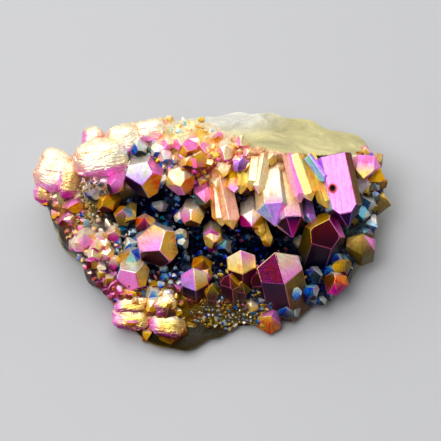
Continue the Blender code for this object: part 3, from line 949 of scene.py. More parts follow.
def lay_coat(
    mesh: bpy.types.Mesh, corners: Corners, colours: np.ndarray, width: float, chunk: Chunk,
    pitted: np.ndarray | float = 0.0,
) -> None:
    """Lays a coat on a crystal's mesh, with a painted highlight on its softened edges, and like the chunk at
    its root, painted navy shade of the hollows included.

    Args:
        mesh: The mesh, in its place.
        corners: The corners of its faces.
        colours: A colour for each corner.
        width: The crystal's width in millimetres.
        chunk: The chunk that it stands on.
        pitted: How pitted the crystal is, at each corner or as a whole.
    """
    # Painted highlight: the softened edges are paled toward full brightness.
    edges = corners.edges[:, None] * EDGE_HIGHLIGHT
    bright = 0.85 * colours / colours.max(axis=1, keepdims=True) + 0.15
    colours = mix(colours, bright, edges)
    mesh.polygons.foreach_set("material_index", np.zeros(len(mesh.polygons), dtype=np.int32))
    # At its root the crystal takes the matrix's tint, so in the hollows its root carries the painted navy
    # shade.
    skins = np.array([chunk.skin_out(p[0], p[1]) or p[2] - 1.0 for p in corners.places])
    height = corners.places[:, 2] - skins
    rooted = smoothstep(-0.3, min(2.2, 0.6 * width), height)[:, None]
    ground = chunk.tints_at(corners.places)
    paint(mesh, mix(ground, colours, rooted), "CORNER", pitted)


def crystals_of(rows: str) -> list[Crystal]:
    """The crystals of a table.

    Args:
        rows: The table.

    Returns:
        The crystals, in the order of its lines.
    """
    crystals = []
    for numbers, names in read_rows(rows):
        coats = FaceCoat if names[0] in FaceCoat.__members__ else Coat
        crystals.append(Crystal(*numbers, coat=coats[names[0]], form=Form[(*names, "UNEVEN")[1]]))
    return crystals


# Crystals, one a line: right, up, out, toward, lean, width, twist, trigonal (where it isn't the usual
# one), coat and form.
LARGE_CRYSTALS = """
15 -5.4 7 103 47 9.5 6 0 EVENING WIDE_RIDGED
6.5 -4.9 5 95 45 7 0 0 ROSE_RIDGE RIDGED
19.3 -1.6 4.5 280 68 7 10 0 DARK_TIP SIX_FACED
15.1 1.2 5.8 275 62 7.6 30 0 LILAC_TIP SIX_FACED
28.2 2.8 6 75 35 9 30 0 RED_STAR THREE_FACED
-18.2 10.6 5.5 252 25 8.8 -58 0 TRICOLOUR DEEP_THREE
-13.3 -4.8 6 300 12 9.5 40 0 RUBY_TIP THREE_FACED
-19.2 -10.3 4.5 30 10 7.5 -75 0 ROSE_TIP THREE_FACED
33 0.9 4 282 82 8 30 0 PLATE BROAD_FRONT
"""

SMALL_CRYSTALS = """
9 9.7 4.5 264 78 3.2 30 0 STRAW
10.7 8.8 5 260 78 3.2 0 0 PEACHY
14 16 3.5 268 72 3 0 0 STRAW
16.5 13.5 2 280 60 3 0 GOLDEN
21.3 6.8 5.5 284 76 3.2 0 0 ROSY
23.9 7.2 5.3 290 76 3.8 30 0 IVORY
28 5.2 4.4 291 77 3.8 0 0 HONEY
27.9 11.6 4.5 305 78 2.4 0 0 ICE
13.7 -3.9 2 290 50 3 0 OLIVINE
11.7 -1.4 2 280 50 2.5 0 LIME
24 2 1 280 40 3 0 ICE
-24.7 9 2 260 45 4.6 10 AMETHYST
-13.2 11.9 1 270 20 3.2 20 PALE
-8.2 10.8 3 280 18 6.5 40 BUTTER
-27.7 5.8 0.5 220 25 4.2 30 EMBER
-22.7 4.6 0.5 100 15 4.6 15 CARNIVAL
-21 2.4 -0.5 270 20 3.6 0 OLIVINE
-16.9 3 1 90 25 4.8 0 0.05 CORAL
-14.7 5.9 -2 180 20 3.2 10 STEEL
-8.7 2.6 -2 240 20 2.8 40 PALE
-5.6 2.7 2.5 260 14 5.4 -20 DIAMOND
-2.1 6.6 2 270 24 5.2 0 0 MOSS
-0.7 10.5 -1 90 20 4 10 SKY
-30.5 8.5 -0.5 200 20 3 10 STEEL
-10.7 -0.9 1 90 15 3 10 0.05 PALE
-8 -0.6 0.5 60 15 3.2 30 PALE
-7.7 -3.6 1 270 15 3 50 STEEL
-20.7 -5.1 2 90 25 5.8 20 0.05 FROST
4.8 0.2 3.5 282 76 4 0 0 CRUMBLE
2 1 3 275 74 3.8 30 CRUMBLE
9.2 1.2 4 270 28 5.4 0 0.05 BLUSH
-0.5 0.5 1 100 30 3.5 20 ROSE
-0.2 -3.1 1.5 270 20 4.2 15 GOLDEN
2.7 -4.6 -1 300 20 3.8 40 SKY
-2.5 -7.1 2.5 75 32 5.4 5 0.05 EMBER
-5 -9.3 4 95 42 6.6 0 0 ORCHID_RIDGE RIDGED
-1.6 -9.5 2.5 60 35 4 20 BUTTER
3.7 -10.6 4.5 95 45 4.8 0 GARNET
-0.2 -13.6 3 90 40 4.2 20 OLIVINE
7 -12.4 3.5 80 40 4.2 30 OLIVINE
10.5 -10.4 3 110 35 4.4 10 GARNET
37 12.4 -1.5 265 50 7 30 0.1 SUNSET
38.7 17.1 -4 60 30 5 0 PALE
42 19 -8 40 55 4 20 STEEL
42.5 13 -6.5 350 55 5.5 10 BRONZE
36.7 9.4 -4 280 30 4.5 30 STEEL
39 6.8 -4 30 25 6 15 STEEL
44 6 -9 350 60 6.5 30 OLIVINE
36.8 3 -3 290 25 4.4 0 SKY
40.5 0.9 -6 330 40 4.6 20 PALE
36.5 -0.8 -1 85 34 6.8 0 0 LEMON
30.4 -6 -1 90 30 3.2 10 SKY
28.6 -9 -0.5 110 30 3 40 SKY
32.4 -7.6 0 60 35 4.6 0 OLIVINE
29.8 -11.2 2 105 33 6 0 0 FLAME
26.8 -6 -0.5 330 35 4 30 PALE
25 -9.9 0.5 100 25 3.6 20 STEEL
24.4 -13.9 1.5 70 30 3.6 0 SKY
20.6 -14.4 4 60 30 2.6 20 PALE
13.7 -21.2 1.5 80 10 6.2 10 SUNSET
17.6 -18.9 2 100 30 3.6 0 SKY
20 -21.2 0 300 30 4.2 20 STEEL
24.7 -18.2 -1 300 45 4.4 0 STEEL
9.5 -20 1.5 270 40 3.2 0 GOLDEN
-26 -14.6 0 200 35 5.2 20 GARNET
-26.5 -12 0 160 30 3.2 0 GOLDEN
-23.5 -18.2 1 170 40 5 30 GOLDEN
-19.8 -20.6 1.5 100 18 7 0 0 GILT_PINK
-16 -20 3 235 35 4.6 0 GOLDEN
-10.9 -17.6 3.5 60 25 5 20 GOLDEN
-10.8 -22 2 95 28 7.2 0 0 EMBER
-15.5 -15 2 120 25 4 30 PALE
-32 -0.6 2 120 20 4.8 20 MARZIPAN
-27.7 -1.1 2 90 20 3.4 0 MARZIPAN
-24.7 -0.1 1 70 20 3.6 40 SHELL
-34.4 -3.1 0.5 170 20 3.6 10 MARZIPAN
-29.4 -3.9 2.2 200 20 3.2 30 SHELL
-30 -6.2 1.5 240 25 3.8 0 MARZIPAN
-26.7 -3.9 2.2 300 20 2.8 15 SHELL
-26.2 -6.2 1.6 270 20 3 45 MARZIPAN
-24 -7 1.2 60 25 3.2 20 SHELL
-44.8 8.4 -9.5 180 60 5 0 0 MARZIPAN
-36.7 8.4 -2 240 25 3.8 30 GARNET
-36.5 5.3 -2 200 30 5 15 GILT_PINK
-38.5 1.8 -4.5 200 50 6.4 0 GARNET
-28.4 22 -5 110 30 5 15 SHELL
-20.5 27 -8 110 45 4 30 PEACHY
-11.2 23 -0.5 80 25 5.4 30 IVORY
-4.5 24.4 -0.5 90 30 6.4 0 IVORY
-11.5 20.9 2.2 250 15 3.4 20 PEACHY
-8 21 3 270 5 3.6 0 PEACHY
-14.4 19.1 1.8 230 20 3.4 40 PALE
-12 17.6 2 270 20 3.4 0 PALE
-18.8 19.5 1.2 240 15 4 20 STEEL
-6 19.4 4.2 250 8 4.6 30 GILT_PINK
-2.2 19 4.8 280 8 4.4 0 FUCHSIA
-7.2 16.2 3.4 230 30 3.8 10 GOLDEN
-4 15.6 4.6 260 30 4.2 0 RUBY
-0.5 15.2 4.8 290 30 4.2 30 GOLDEN
2.7 17.4 5.4 260 35 4.4 0 PEACHY
2.4 13.2 4.4 270 40 4 20 GOLDEN
6.2 14.4 5.4 262 50 4.2 0 ORCHID
5 9.4 4.2 275 50 4 30 CARNIVAL
1 9.6 3 260 40 3.8 10 GOLDEN
6.7 20.6 4.4 250 35 4.2 0 PEACHY
11.2 18.9 4.2 262 50 3.2 20 GOLDEN
6.6 9 3.6 262 76 3.2 10 0 HONEY
-33 15.4 -1 215 40 4 10 SHELL
"""


@dataclass(frozen=True)
class DruseBed(Patch):
    """A bed of tiny crystals on the matrix."""

    count: float  # at most this many crystals
    small: float  # widths in millimetres
    large: float
    blocky: float  # share of broken blocks among its crystals
    coats: tuple[Coat, ...]

    def places(self, chance: random.Random) -> Iterator[tuple[float, float, float]]:
        """Where its crystals stand, none of them too near another.

        Args:
            chance: Source of the places and sizes.

        Yields:
            Right, up and the crystal's width.
        """
        taken: list[tuple[float, float, float]] = []
        for _ in range(int(self.count) * 6):
            angle, spread = chance.uniform(0, math.tau), math.sqrt(chance.random())
            right = self.right + self.reach_right * spread * math.cos(angle)
            up = self.up + self.reach_up * spread * math.sin(angle)
            width = self.small + (self.large - self.small) * chance.random() ** 1.6
            if all(math.hypot(right - r, up - u) > 0.42 * (width + w) for r, u, w in taken):
                taken.append((right, up, width))
                yield right, up, width
            if len(taken) == self.count:
                return


# Beds, one a line: right, up, reach right, reach up, count, smallest and largest width, blocks' share, coats.
DRUSE_BEDS = """
-31.5 7.6 5 6 130 0.8 1.7 0.4 BEAD BEAD OLIVINE STEEL
-38 7 5.5 5 40 1.6 3.6 0.8 SHELL MARZIPAN GILT_PINK
-36.5 3 4.5 5 60 1.2 3.0 0.7 CORAL GARNET GILT_PINK GOLDEN
-28.5 -3.6 7.5 6.5 120 1.4 3.4 0.5 MARZIPAN SHELL IVORY PALE
-33 -7 3.5 5 70 1.4 3.4 0.6 MARZIPAN SHELL GARNET GOLDEN
-29.5 -11.5 3 3.5 50 1.4 3.2 0.6 GARNET GOLDEN CORAL
-20 -5 5 5 60 1.0 2.4 0.5 STEEL SKY FROST PALE
-9 24.6 9 3.4 70 1.6 3.6 0.9 IVORY BUTTER GOLDEN PALE
-2.2 18 12 5 150 1.4 3.6 0.8 GOLDEN PEACHY BUTTER GILT_PINK
-1 13.5 9 5 130 1.4 3.4 0.7 GILT_PINK RUBY FUCHSIA GOLDEN
-21 20.0 7 5 40 1.2 3.0 0.7 PALE STEEL SKY PEACHY
-11.4 15 4 3 40 1.0 2.0 0.3 SKY STEEL
-7 2.6 17 11 150 1.0 2.4 0.3 MIDNIGHT MIDNIGHT STEEL SKY
2.5 -4 3 3 30 1.0 2.4 0.4 SKY PALE STEEL
25.5 -5.4 2.6 1.8 9 1.4 2.8 0.4 PALE SKY
19.8 -15 2 2 8 1.4 2.6 0.4 BUTTER PALE
-12.4 -12.4 5 4 70 1.0 2.8 0.5 FROST PALE SKY GARNET
13 0 10 7 40 0.9 1.8 0.2 MIDNIGHT MIDNIGHT AMETHYST
-2 10 4 4 40 1.2 2.6 0.3 SKY PALE
6.5 -13.6 16 6 160 1.0 2.6 0.4 OLIVINE STEEL GARNET MIDNIGHT
3.4 -20.5 9 4 220 0.7 1.6 0.5 BEAD STEEL OLIVINE
-24 -17 4 6 70 1.6 3.6 0.8 GILT_PINK GARNET ROSE CORAL
-16 -20 9 6 100 1.6 4.0 0.8 GOLDEN GILT_PINK EMBER BUTTER
-21.5 -12 6 6 60 1.2 2.8 0.5 GARNET GOLDEN ROSE MIDNIGHT
39 5 6 8 60 2.4 5.4 0.8 SLATE BRONZE SLATE OLIVINE
38.5 15.5 5 5 70 1.5 3.6 0.7 SUNSET BRONZE SHELL
27 -11 7 9 120 1.2 2.8 0.4 SKY STEEL OLIVINE MIDNIGHT
15.5 -20 6 4 50 1.2 2.8 0.4 SKY STEEL GOLDEN
27 4 7 7 40 1.0 2.2 0.2 MIDNIGHT AMETHYST SKY
"""


@dataclass(frozen=True)
class SeedCrystal:
    """A tiny quartz point, a millimetre wide, that is modelled once and copied over the matrix."""

    body: float  # length below the point
    point: float
    skew: tuple[float, float]

    def build(self, name: str) -> bpy.types.Object:
        """Draws a point out of a six-sided column and softens its edges.

        Args:
            name: What the object is called.

        Returns:
            The template, with its tip at the origin.
        """
        deselect()
        bpy.ops.mesh.primitive_cylinder_add(
            vertices=6, radius=0.5, depth=self.body, location=(0, 0, -self.point - self.body / 2)
        )
        seed = bpy.context.object
        seed.name = name
        mark_slots(seed.data)
        bpy.ops.object.transform_apply(location=True, rotation=True, scale=True)
        bpy.ops.object.mode_set(mode="EDIT")
        bpy.ops.mesh.select_mode(type="FACE")
        bpy.ops.object.mode_set(mode="OBJECT")
        for polygon in seed.data.polygons:
            polygon.select = polygon.normal.z > 0.9
        bpy.ops.object.mode_set(mode="EDIT")
        bpy.ops.mesh.extrude_faces_indiv()
        bpy.ops.transform.translate(value=(*self.skew, self.point))
        bpy.ops.transform.resize(value=(0.12, 0.12, 1))
        bpy.ops.mesh.select_all(action="DESELECT")
        bpy.ops.mesh.select_mode(type="EDGE")
        bpy.ops.object.mode_set(mode="OBJECT")
        for edge in seed.data.edges:
            low, high = sorted(seed.data.vertices[k].co.z for k in edge.vertices)
            edge.select = high - low < 1e-4 and low > -self.point - 1e-4  # round the shoulder and the tip
        bpy.ops.object.mode_set(mode="EDIT")
        bpy.ops.mesh.bevel(offset=0.03, segments=1, affect="EDGES", clamp_overlap=True, material=1)
        bpy.ops.mesh.select_mode(type="FACE")
        bpy.ops.object.mode_set(mode="OBJECT")
        return seed


@dataclass(frozen=True)
class SeedBlock:
    """A broken, many-sided block of quartz, a millimetre wide, modelled once and copied."""

    seed: int
    cuts: int = 11

    def build(self, name: str) -> bpy.types.Object:
        """Cuts a block to a chunk with uneven flat sides.

        Args:
            name: What the object is called.

        Returns:
            The template, with its top at the origin.
        """
        chance = random.Random(self.seed)
        deselect()
        bpy.ops.mesh.primitive_cube_add(size=1.1)
        block = bpy.context.object
        block.name = name
        mark_slots(block.data)
        bpy.ops.object.mode_set(mode="EDIT")
        for _ in range(self.cuts):
            normal = Vector((chance.gauss(0, 1), chance.gauss(0, 1), chance.gauss(0.5, 1))).normalized()
            cut_flat(normal, chance.uniform(0.34, 0.5), 1e-4)
        bpy.ops.mesh.select_all(action="SELECT")
        bpy.ops.transform.translate(value=(0, 0, -0.45))
        soften_edges(0.03)
        bpy.ops.object.mode_set(mode="OBJECT")
        return block


@dataclass(frozen=True)
class Pit:
    """A round pit with a coloured rim, sunk in a crystal's broad face."""

    right: float = 29.1
    up: float = 10.4
    radius: float = 0.8
    depth: float = 0.9

    def spread(self, places: np.ndarray) -> np.ndarray:
        """How far places of the face lie from the pit's middle, as shares of its radius."""
        return np.hypot(places[:, 0] - self.right, places[:, 1] - self.up) / self.radius

    def sink(self, crystal: bpy.types.Object) -> None:
        """Sinks the pit in a crystal and paints it: an orange ring round it, and painted navy shade inside.

        Args:
            crystal: The crystal, in its place.
        """
        mesh = crystal.data
        deselect()
        crystal.select_set(True)
        bpy.context.view_layer.objects.active = crystal
        bpy.ops.object.mode_set(mode="EDIT")
        bpy.ops.mesh.select_mode(type="FACE")
        bpy.ops.mesh.select_all(action="DESELECT")
        bpy.ops.object.mode_set(mode="OBJECT")
        for polygon in mesh.polygons:
            near = self.spread(face_places(np.array(polygon.center)[None]))[0] < 2.6
            polygon.select = bool(near and polygon.normal.dot(OUT) > 0.8)
        bpy.ops.object.mode_set(mode="EDIT")
        bpy.ops.mesh.subdivide(number_cuts=6)
        bpy.ops.object.mode_set(mode="OBJECT")
        for polygon in mesh.polygons:
            if polygon.normal.dot(OUT) < 0.8:
                continue
            for k in polygon.vertices:
                mesh.vertices[k].select = True
        face_out = -100.0
        for vert in mesh.vertices:
            place = face_places(np.array(vert.co)[None])
            spread = self.spread(place)[0]
            if vert.select and spread < 1.5:
                face_out = max(face_out, place[0, 2])
                rim = 0.16 * math.exp(-(((spread - 1.15) / 0.2) ** 2))
                vert.co += OUT * (rim - max(0.0, 1 - spread**3)) * self.depth * MM
        mesh.update()
        corners = Corners.of(mesh)
        spread = self.spread(corners.places)[:, None]
        facing = (corners.places[:, 2:] > face_out - 2 * self.depth).astype(float)
        layer = mesh.color_attributes["coat"]
        rows = read_values(layer.data, "color", 4, np.float32)
        ring = np.exp(-(((spread - 1.15) / 0.3) ** 2)) * facing
        inside = (1 - smoothstep(0.7, 1.0, spread)) * facing
        # The orange ring is the rim's own colour; the navy inside is painted shade in the pit.
        for tint, share in ((Tint.ORANGE, ring), (Tint.NAVY, inside)):
            rows[:, :3] = mix(rows[:, :3], tint.linear, share)
        layer.data.foreach_set("color", rows.ravel())


@dataclass(frozen=True)
class Lump:
    """A rounded block that crystals have grown together into."""

    right: float
    up: float
    out: float
    reach_right: float
    reach_up: float
    reach_out: float
    turn: float  # in the face, counter-clockwise
    rough: float  # how deep its steps and ridges are
    coat: Coat

    def surface(self, direction: Vector) -> Vector:
        """Where a point of the unit sphere goes on the lump.

        Args:
            direction: The point on the sphere.

        Returns:
            Its place in millimetres from the lump's middle, before the lump is turned.
        """
        square = sum(abs(c) ** 3.0 for c in direction) ** (-1 / 3.0)
        uneven = 1 + 0.16 * noise.noise(direction * 1.3 + Vector((self.right, self.up, 0)))
        reach = Vector((self.reach_right, self.reach_up, self.reach_out))
        place = reach * direction * square * uneven
        cell = place * LUMP_STEP_SCALE
        _, centres = noise.voronoi(cell)
        slope = noise.noise_vector(centres[0] * 3.3).dot(cell - centres[0])
        step = noise.noise(centres[0] * 5.1) * 0.42 + slope
        ridges = LUMP_RIDGE * noise.fractal(Vector((place.x * 0.4, place.y * 3.4, place.z)), 0.7, 2.0, 3)
        return place + direction * (LUMP_STEP * step + ridges) * self.rough

    def build(self, chunk: Chunk) -> bpy.types.Object:
        """Shapes the lump from a ball.

        Args:
            chunk: The chunk that it stands on.

        Returns:
            The lump, in its place.
        """
        deselect()
        bpy.ops.mesh.primitive_ico_sphere_add(subdivisions=6 if self.reach_right > 4 else 5, radius=1)
        lump = bpy.context.object
        for vert in lump.data.vertices:
            vert.co = self.surface(vert.co.normalized())
        turn = Matrix.Rotation(math.radians(self.turn), 4, "Z")
        place = Matrix.Translation(on_face(self.right, self.up, self.out))
        lump.data.transform(place @ FACE_TURN @ turn @ Matrix.Scale(MM, 4))
        lump.data.update()
        mark_slots(lump.data)
        corners = Corners.of(lump.data)
        middle = (self.right, self.up, self.out)
        spread = 0.55 if self.coat is Coat.GILDED else 1.3  # gilded blocks change tint sharply from top to bottom: painted light on top, painted shade below
        colours = side_tints(corners, self.coat.tints, middle, spread * (self.reach_right + self.reach_up))
        lay_coat(lump.data, corners, colours, 2.0, chunk)
        return lump


# Lumps, one a line: right, up, out, reach right, reach up, reach out, turn, roughness and coat.
LUMPS = """
-30.2 23.0 -8.5 2.8 2.8 2.8 0 0.5 KNOB
-27.8 18.0 -1.0 6.6 4.6 3.8 12 1 CRUST
-22.8 22.3 -3.0 4.4 3.6 3.2 30 1 CRUST
-16.2 24.9 -4.6 3.5 2.7 3.0 10 1 CRUST
-39.6 15.0 -6.0 4.4 5.2 3.6 -30 1 CRUST
-36.0 12.6 -3.4 2.4 4.4 2.8 -5 1 RIDGE_CRUST
-42.3 10.2 -9.6 2.4 3.2 2.6 -10 1 RIDGE_CRUST
-20.7 -21.9 -0.9 4.3 2.6 2.6 -14 1 GILDED
-20.4 -18.4 -0.2 4.2 1.7 2.2 8 1 GILDED
-11.6 -23.4 -0.8 4.3 2.6 2.7 -8 1 GILDED
-12.2 -18.2 0.4 3.0 2.3 2.6 30 1 GILDED
"""


@dataclass
class Growth:
    """All the crystals of the cluster, large and small."""

    chunk: Chunk
    seed: int = 7
    druse_seed: int = 31
    seeds: tuple[SeedCrystal, ...] = (
        SeedCrystal(0.9, 0.55, (0.05, 0.0)),
        SeedCrystal(0.7, 0.45, (-0.08, 0.06)),
        SeedCrystal(1.2, 0.60, (0.02, -0.1)),
        SeedCrystal(0.5, 0.50, (0.12, 0.05)),
        SeedCrystal(0.8, 0.35, (-0.05, -0.12)),
    )
    blocks: tuple[SeedBlock, ...] = (SeedBlock(1), SeedBlock(2), SeedBlock(3), SeedBlock(4), SeedBlock(5))
    pit: Pit = Pit()

    def build_points(self) -> list[bpy.types.Object]:
        """Builds every single crystal and lump.

        Returns:
            The piece of the large crystals, that of the small ones and that of the lumps.
        """
        deselect()
        chance = random.Random(self.seed)
        large = [crystal.build(self.chunk, chance) for crystal in crystals_of(LARGE_CRYSTALS)]
        self.pit.sink(large[-1])
        small = [crystal.build(self.chunk, chance) for crystal in crystals_of(SMALL_CRYSTALS)]
        lumps = [Lump(*numbers, Coat[names[0]]).build(self.chunk) for numbers, names in read_rows(LUMPS)]
        return [join(large, "large_crystals"), join(small, "small_crystals"), join(lumps, "lumps")]

    def surface_look(self, right: float, up: float) -> Vector:
        """The direction in which the matrix's surface looks.

        Args:
            right: Place on the face.
            up: Place on the face.

        Returns:
            The direction, in the face's axes.
        """
        step = 0.6
        middle = self.chunk.skin_out(right, up) or 0.0
        along_right = (self.chunk.skin_out(right + step, up) or middle - step) - middle
        along_up = (self.chunk.skin_out(right, up + step) or middle - step) - middle
        return Vector((-along_right, -along_up, step)).normalized()

    def plant(self, seed: bpy.types.Object, right: float, up: float, width: float, coat: Coat,
              chance: random.Random) -> bpy.types.Object:
        """Stands a copy of a seed crystal on the matrix.

        Args:
            seed: The template.
            right: Its place on the face.
            up: Its place on the face.
            width: Its width in millimetres.
            coat: Its coat.
            chance: Source of its tilt and turn.

        Returns:
            The new crystal.
        """
        look = self.surface_look(right, up)
        look += Vector((chance.gauss(0, 0.35), chance.gauss(0, 0.35), 0.35))
        axis = (RIGHT * look.x + UP * look.y + OUT * look.z).normalized()
        first = axis.orthogonal().normalized()
        frame = Matrix((first, axis.cross(first), axis)).transposed().to_4x4()
        turn = Matrix.Rotation(chance.uniform(0, math.tau), 4, "Z")
        stands = width * chance.uniform(0.35, 0.8)
        tip = on_face(right, up, self.chunk.skin_out(right, up)) + axis * stands * MM
        mesh = seed.data.copy()
        mesh.transform(Matrix.Translation(tip) @ frame @ turn @ Matrix.Scale(width * MM, 4))
        mesh.update()
        corners = Corners.of(mesh)
        colours = side_tints(corners, coat.tints, tuple(face_places(np.array(tip)[None])[0]), width)
        lay_coat(mesh, corners, colours, width, self.chunk)
        crystal = bpy.data.objects.new("druse_crystal", mesh)
        bpy.context.collection.objects.link(crystal)
        return crystal

    def build_druse(self) -> bpy.types.Object:
        """Covers the matrix with beds of tiny crystals.

        Returns:
            The druse as one piece.
        """
        chance = random.Random(self.druse_seed)
        templates = [seed.build(f"seed_crystal_{k}") for k, seed in enumerate(self.seeds)]
        blocks = [block.build(f"seed_block_{k}") for k, block in enumerate(self.blocks)]
        planted = []
        for numbers, names in read_rows(DRUSE_BEDS):
            bed = DruseBed(*numbers, tuple(Coat[name] for name in names))
            for right, up, width in bed.places(chance):
                skin = self.chunk.skin_out(right, up)
                if skin is None or self.chunk.slab_at(right, up) < skin + 1.0:
                    continue
                seed = chance.choice(blocks if chance.random() < bed.blocky else templates)
                planted.append(self.plant(seed, right, up, width, chance.choice(bed.coats), chance))
        for template in templates + blocks:
            bpy.data.objects.remove(template)
        return join(planted, "druse")


class NodeGroup:
    """A shader node group in the making."""

    def __init__(self, name: str, inputs: dict[str, str], outputs: dict[str, str]) -> None:
        """Starts a group.

        Args:
            name: What the group is called.
            inputs: Names and socket types of its inputs.
            outputs: Names and socket types of its outputs.
        """
        self.tree = bpy.data.node_groups.new(name, "ShaderNodeTree")
        for direction, sockets in (("INPUT", inputs), ("OUTPUT", outputs)):
            for label, kind in sockets.items():
                self.tree.interface.new_socket(label, in_out=direction, socket_type=kind)
        self.inputs = self.tree.nodes.new("NodeGroupInput").outputs
        self.result = self.tree.nodes.new("NodeGroupOutput")

    def add(self, kind: str, **settings: object) -> bpy.types.Node:
        """Adds a node with the given settings."""
        return add_node(self.tree, kind, **settings)

    def growth_noise(
        self, stretch: tuple[float, float, float], detail: float, roughness: float
    ) -> bpy.types.NodeSocket:
        """Noise along and around each crystal.

        Args:
            stretch: How quickly it changes along, around and from crystal to crystal.
            detail: Number of finer layers.
            roughness: How strong the finer layers are.

        Returns:
            The noise's socket.
        """
        growth = self.add("Attribute", attribute_name="growth")
        place = self.add("VectorMath", operation="MULTIPLY", in0=growth.outputs["Vector"], in1=stretch)
        lines = self.add("TexNoise", Scale=1.0, Detail=detail, Roughness=roughness)
        feed(self.tree, lines, Vector=place.outputs["Vector"])
        return lines.outputs["Fac"]

    def object_noise(self, scale: float, detail: float = 3.0, roughness: float = 0.6) -> bpy.types.NodeSocket:
        """Noise in the object's own coordinates.

        Args:
            scale: Its scale for each metre.
            detail: Number of finer layers.
            roughness: How strong the finer layers are.

        Returns:
            The noise's socket.
        """
        place = self.add("TexCoord").outputs["Object"]
        cloud = self.add("TexNoise", Vector=place, Scale=scale, Detail=detail, Roughness=roughness)
        return cloud.outputs["Fac"]

    def finish(self, **outputs: bpy.types.NodeSocket) -> bpy.types.NodeTree:
        """Links the group's outputs.

        Args:
            **outputs: The socket that each output takes, by the output's name.

        Returns:
            The group.
        """
        feed(self.tree, self.result, **outputs)
        return self.tree


def feed(tree: bpy.types.NodeTree, node: bpy.types.Node, **values: object) -> None:
    """Fills a node's inputs.

    Args:
        tree: The node tree.
        node: The node.
        **values: A value or a socket to link, by the input's name with "_" for spaces, or by "in" and
            its number.
    """
    for name, value in values.items():
        socket = node.inputs[int(name[2:]) if name.startswith("in") else name.replace("_", " ")]
        if isinstance(value, bpy.types.NodeSocket):
            tree.links.new(value, socket)
        else:
            socket.default_value = value


def add_node(tree: bpy.types.NodeTree, kind: str, **settings: object) -> bpy.types.Node:
    """Adds a node to a tree.

    Args:
        tree: The node tree.
        kind: The node's type, without "ShaderNode".
        **settings: Properties of the node, and what feeds its inputs.

    Returns:
        The node.
    """
    node = tree.nodes.new("ShaderNode" + kind)
    own = [name for name in settings if hasattr(node, name)]
    for name in own:
        setattr(node, name, settings.pop(name))
    feed(tree, node, **settings)
    return node


def film_drift() -> bpy.types.NodeTree:
    """The coat's play of colour: hue and strength drift from place to place and in streaks along a crystal.

    Returns:
        A group with a colour and an amount in, and a colour out.
    """
    sockets = {"Color": "NodeSocketColor", "Amount": "NodeSocketFloat"}
    group = NodeGroup("film_drift", sockets, {"Color": "NodeSocketColor"})
    streaks = group.growth_noise((0.12, 2.2, 1.0), 2.0, 0.6)
    drift = group.add("Math", operation="ADD", in0=streaks, in1=group.object_noise(300.0)).outputs["Value"]
    hue = group.add("MapRange", Value=drift, From_Min=0.7, From_Max=1.3, To_Min=-1.0, To_Max=1.0)
    turned = group.add("Math", operation="MULTIPLY_ADD", in0=hue.outputs["Result"], in2=0.5)
    cloud = group.object_noise(1300.0, 4.0, 0.7)
    strength = group.add("MapRange", Value=cloud, From_Min=0.3, From_Max=0.7, To_Min=0.82, To_Max=1.22)
    shift = group.add("HueSaturation", Hue=turned.outputs["Value"], Saturation=1.08)
    feed(group.tree, turned, in1=group.inputs["Amount"])
    feed(group.tree, shift, Color=group.inputs["Color"], Value=strength.outputs["Result"])
    colour = shift.outputs["Color"]
    for start, end, tinge in ((1.03, 1.22, PINK_TINGE), (0.97, 0.78, YELLOW_TINGE)):
        amount = group.add("MapRange", Value=drift, From_Min=start, From_Max=end, To_Max=0.8)
        tinged = group.add("Mix", data_type="RGBA", blend_type="MULTIPLY", in6=colour, in7=tinge)
        feed(group.tree, tinged, in0=amount.outputs["Result"])
        colour = tinged.outputs[2]
    return group.finish(Color=colour)


def growth_lines() -> bpy.types.NodeTree:
    """Fine steps across each crystal's length, as quartz has.

    Returns:
        A group with a height out.
    """
    group = NodeGroup("growth_lines", {}, {"Height": "NodeSocketFloat"})
    return group.finish(Height=group.growth_noise((3.2, 0.22, 1.0), 3.0, 0.7))


def fine_grain() -> bpy.types.NodeTree:
    """Tiny pits and grains.

    Returns:
        A group with a scale in and a height out.
    """
    group = NodeGroup("fine_grain", {"Scale": "NodeSocketFloat"}, {"Height": "NodeSocketFloat"})
    place, scale = group.add("TexCoord").outputs["Object"], group.inputs["Scale"]
    cells = group.add("TexVoronoi", feature="SMOOTH_F1", Smoothness=0.4, Vector=place, Scale=scale)
    rise = group.add("MapRange", Value=cells.outputs["Distance"], From_Max=0.45)
    return group.finish(Height=rise.outputs["Result"])


def etch_pits() -> bpy.types.NodeTree:
    """Scattered round pits.

    Returns:
        A group with an amount in, and a mask of the pits out.
    """
    group = NodeGroup("etch_pits", {"Amount": "NodeSocketFloat"}, {"Mask": "NodeSocketFloat"})
    cells = group.add("TexVoronoi", Vector=group.add("TexCoord").outputs["Object"], Scale=2000.0).outputs
    near = group.add("MapRange", Value=cells["Distance"], From_Min=0.25, From_Max=0.5, To_Min=1.0, To_Max=0.0)
    pick = group.add("SeparateColor", Color=cells["Color"])
    chosen = group.add("Math", operation="GREATER_THAN", in0=pick.outputs["Red"], in1=0.12)
    both = group.add("Math", operation="MULTIPLY", in0=near.outputs["Result"], in1=chosen.outputs["Value"])
    mask = group.add("Math", operation="MULTIPLY", in0=both.outputs["Value"], in1=group.inputs["Amount"])
    return group.finish(Mask=mask.outputs["Value"])


def new_material(name: str) -> tuple[bpy.types.Material, bpy.types.Node, Callable[..., bpy.types.Node]]:
    """Starts a material.

    Args:
        name: What it is called.

    Returns:
        The material, its Principled shader, and add_node for its tree.
    """
    material = bpy.data.materials.new(name)
    material.use_nodes = True
    tree = material.node_tree
    return material, tree.nodes["Principled BSDF"], partial(add_node, tree)


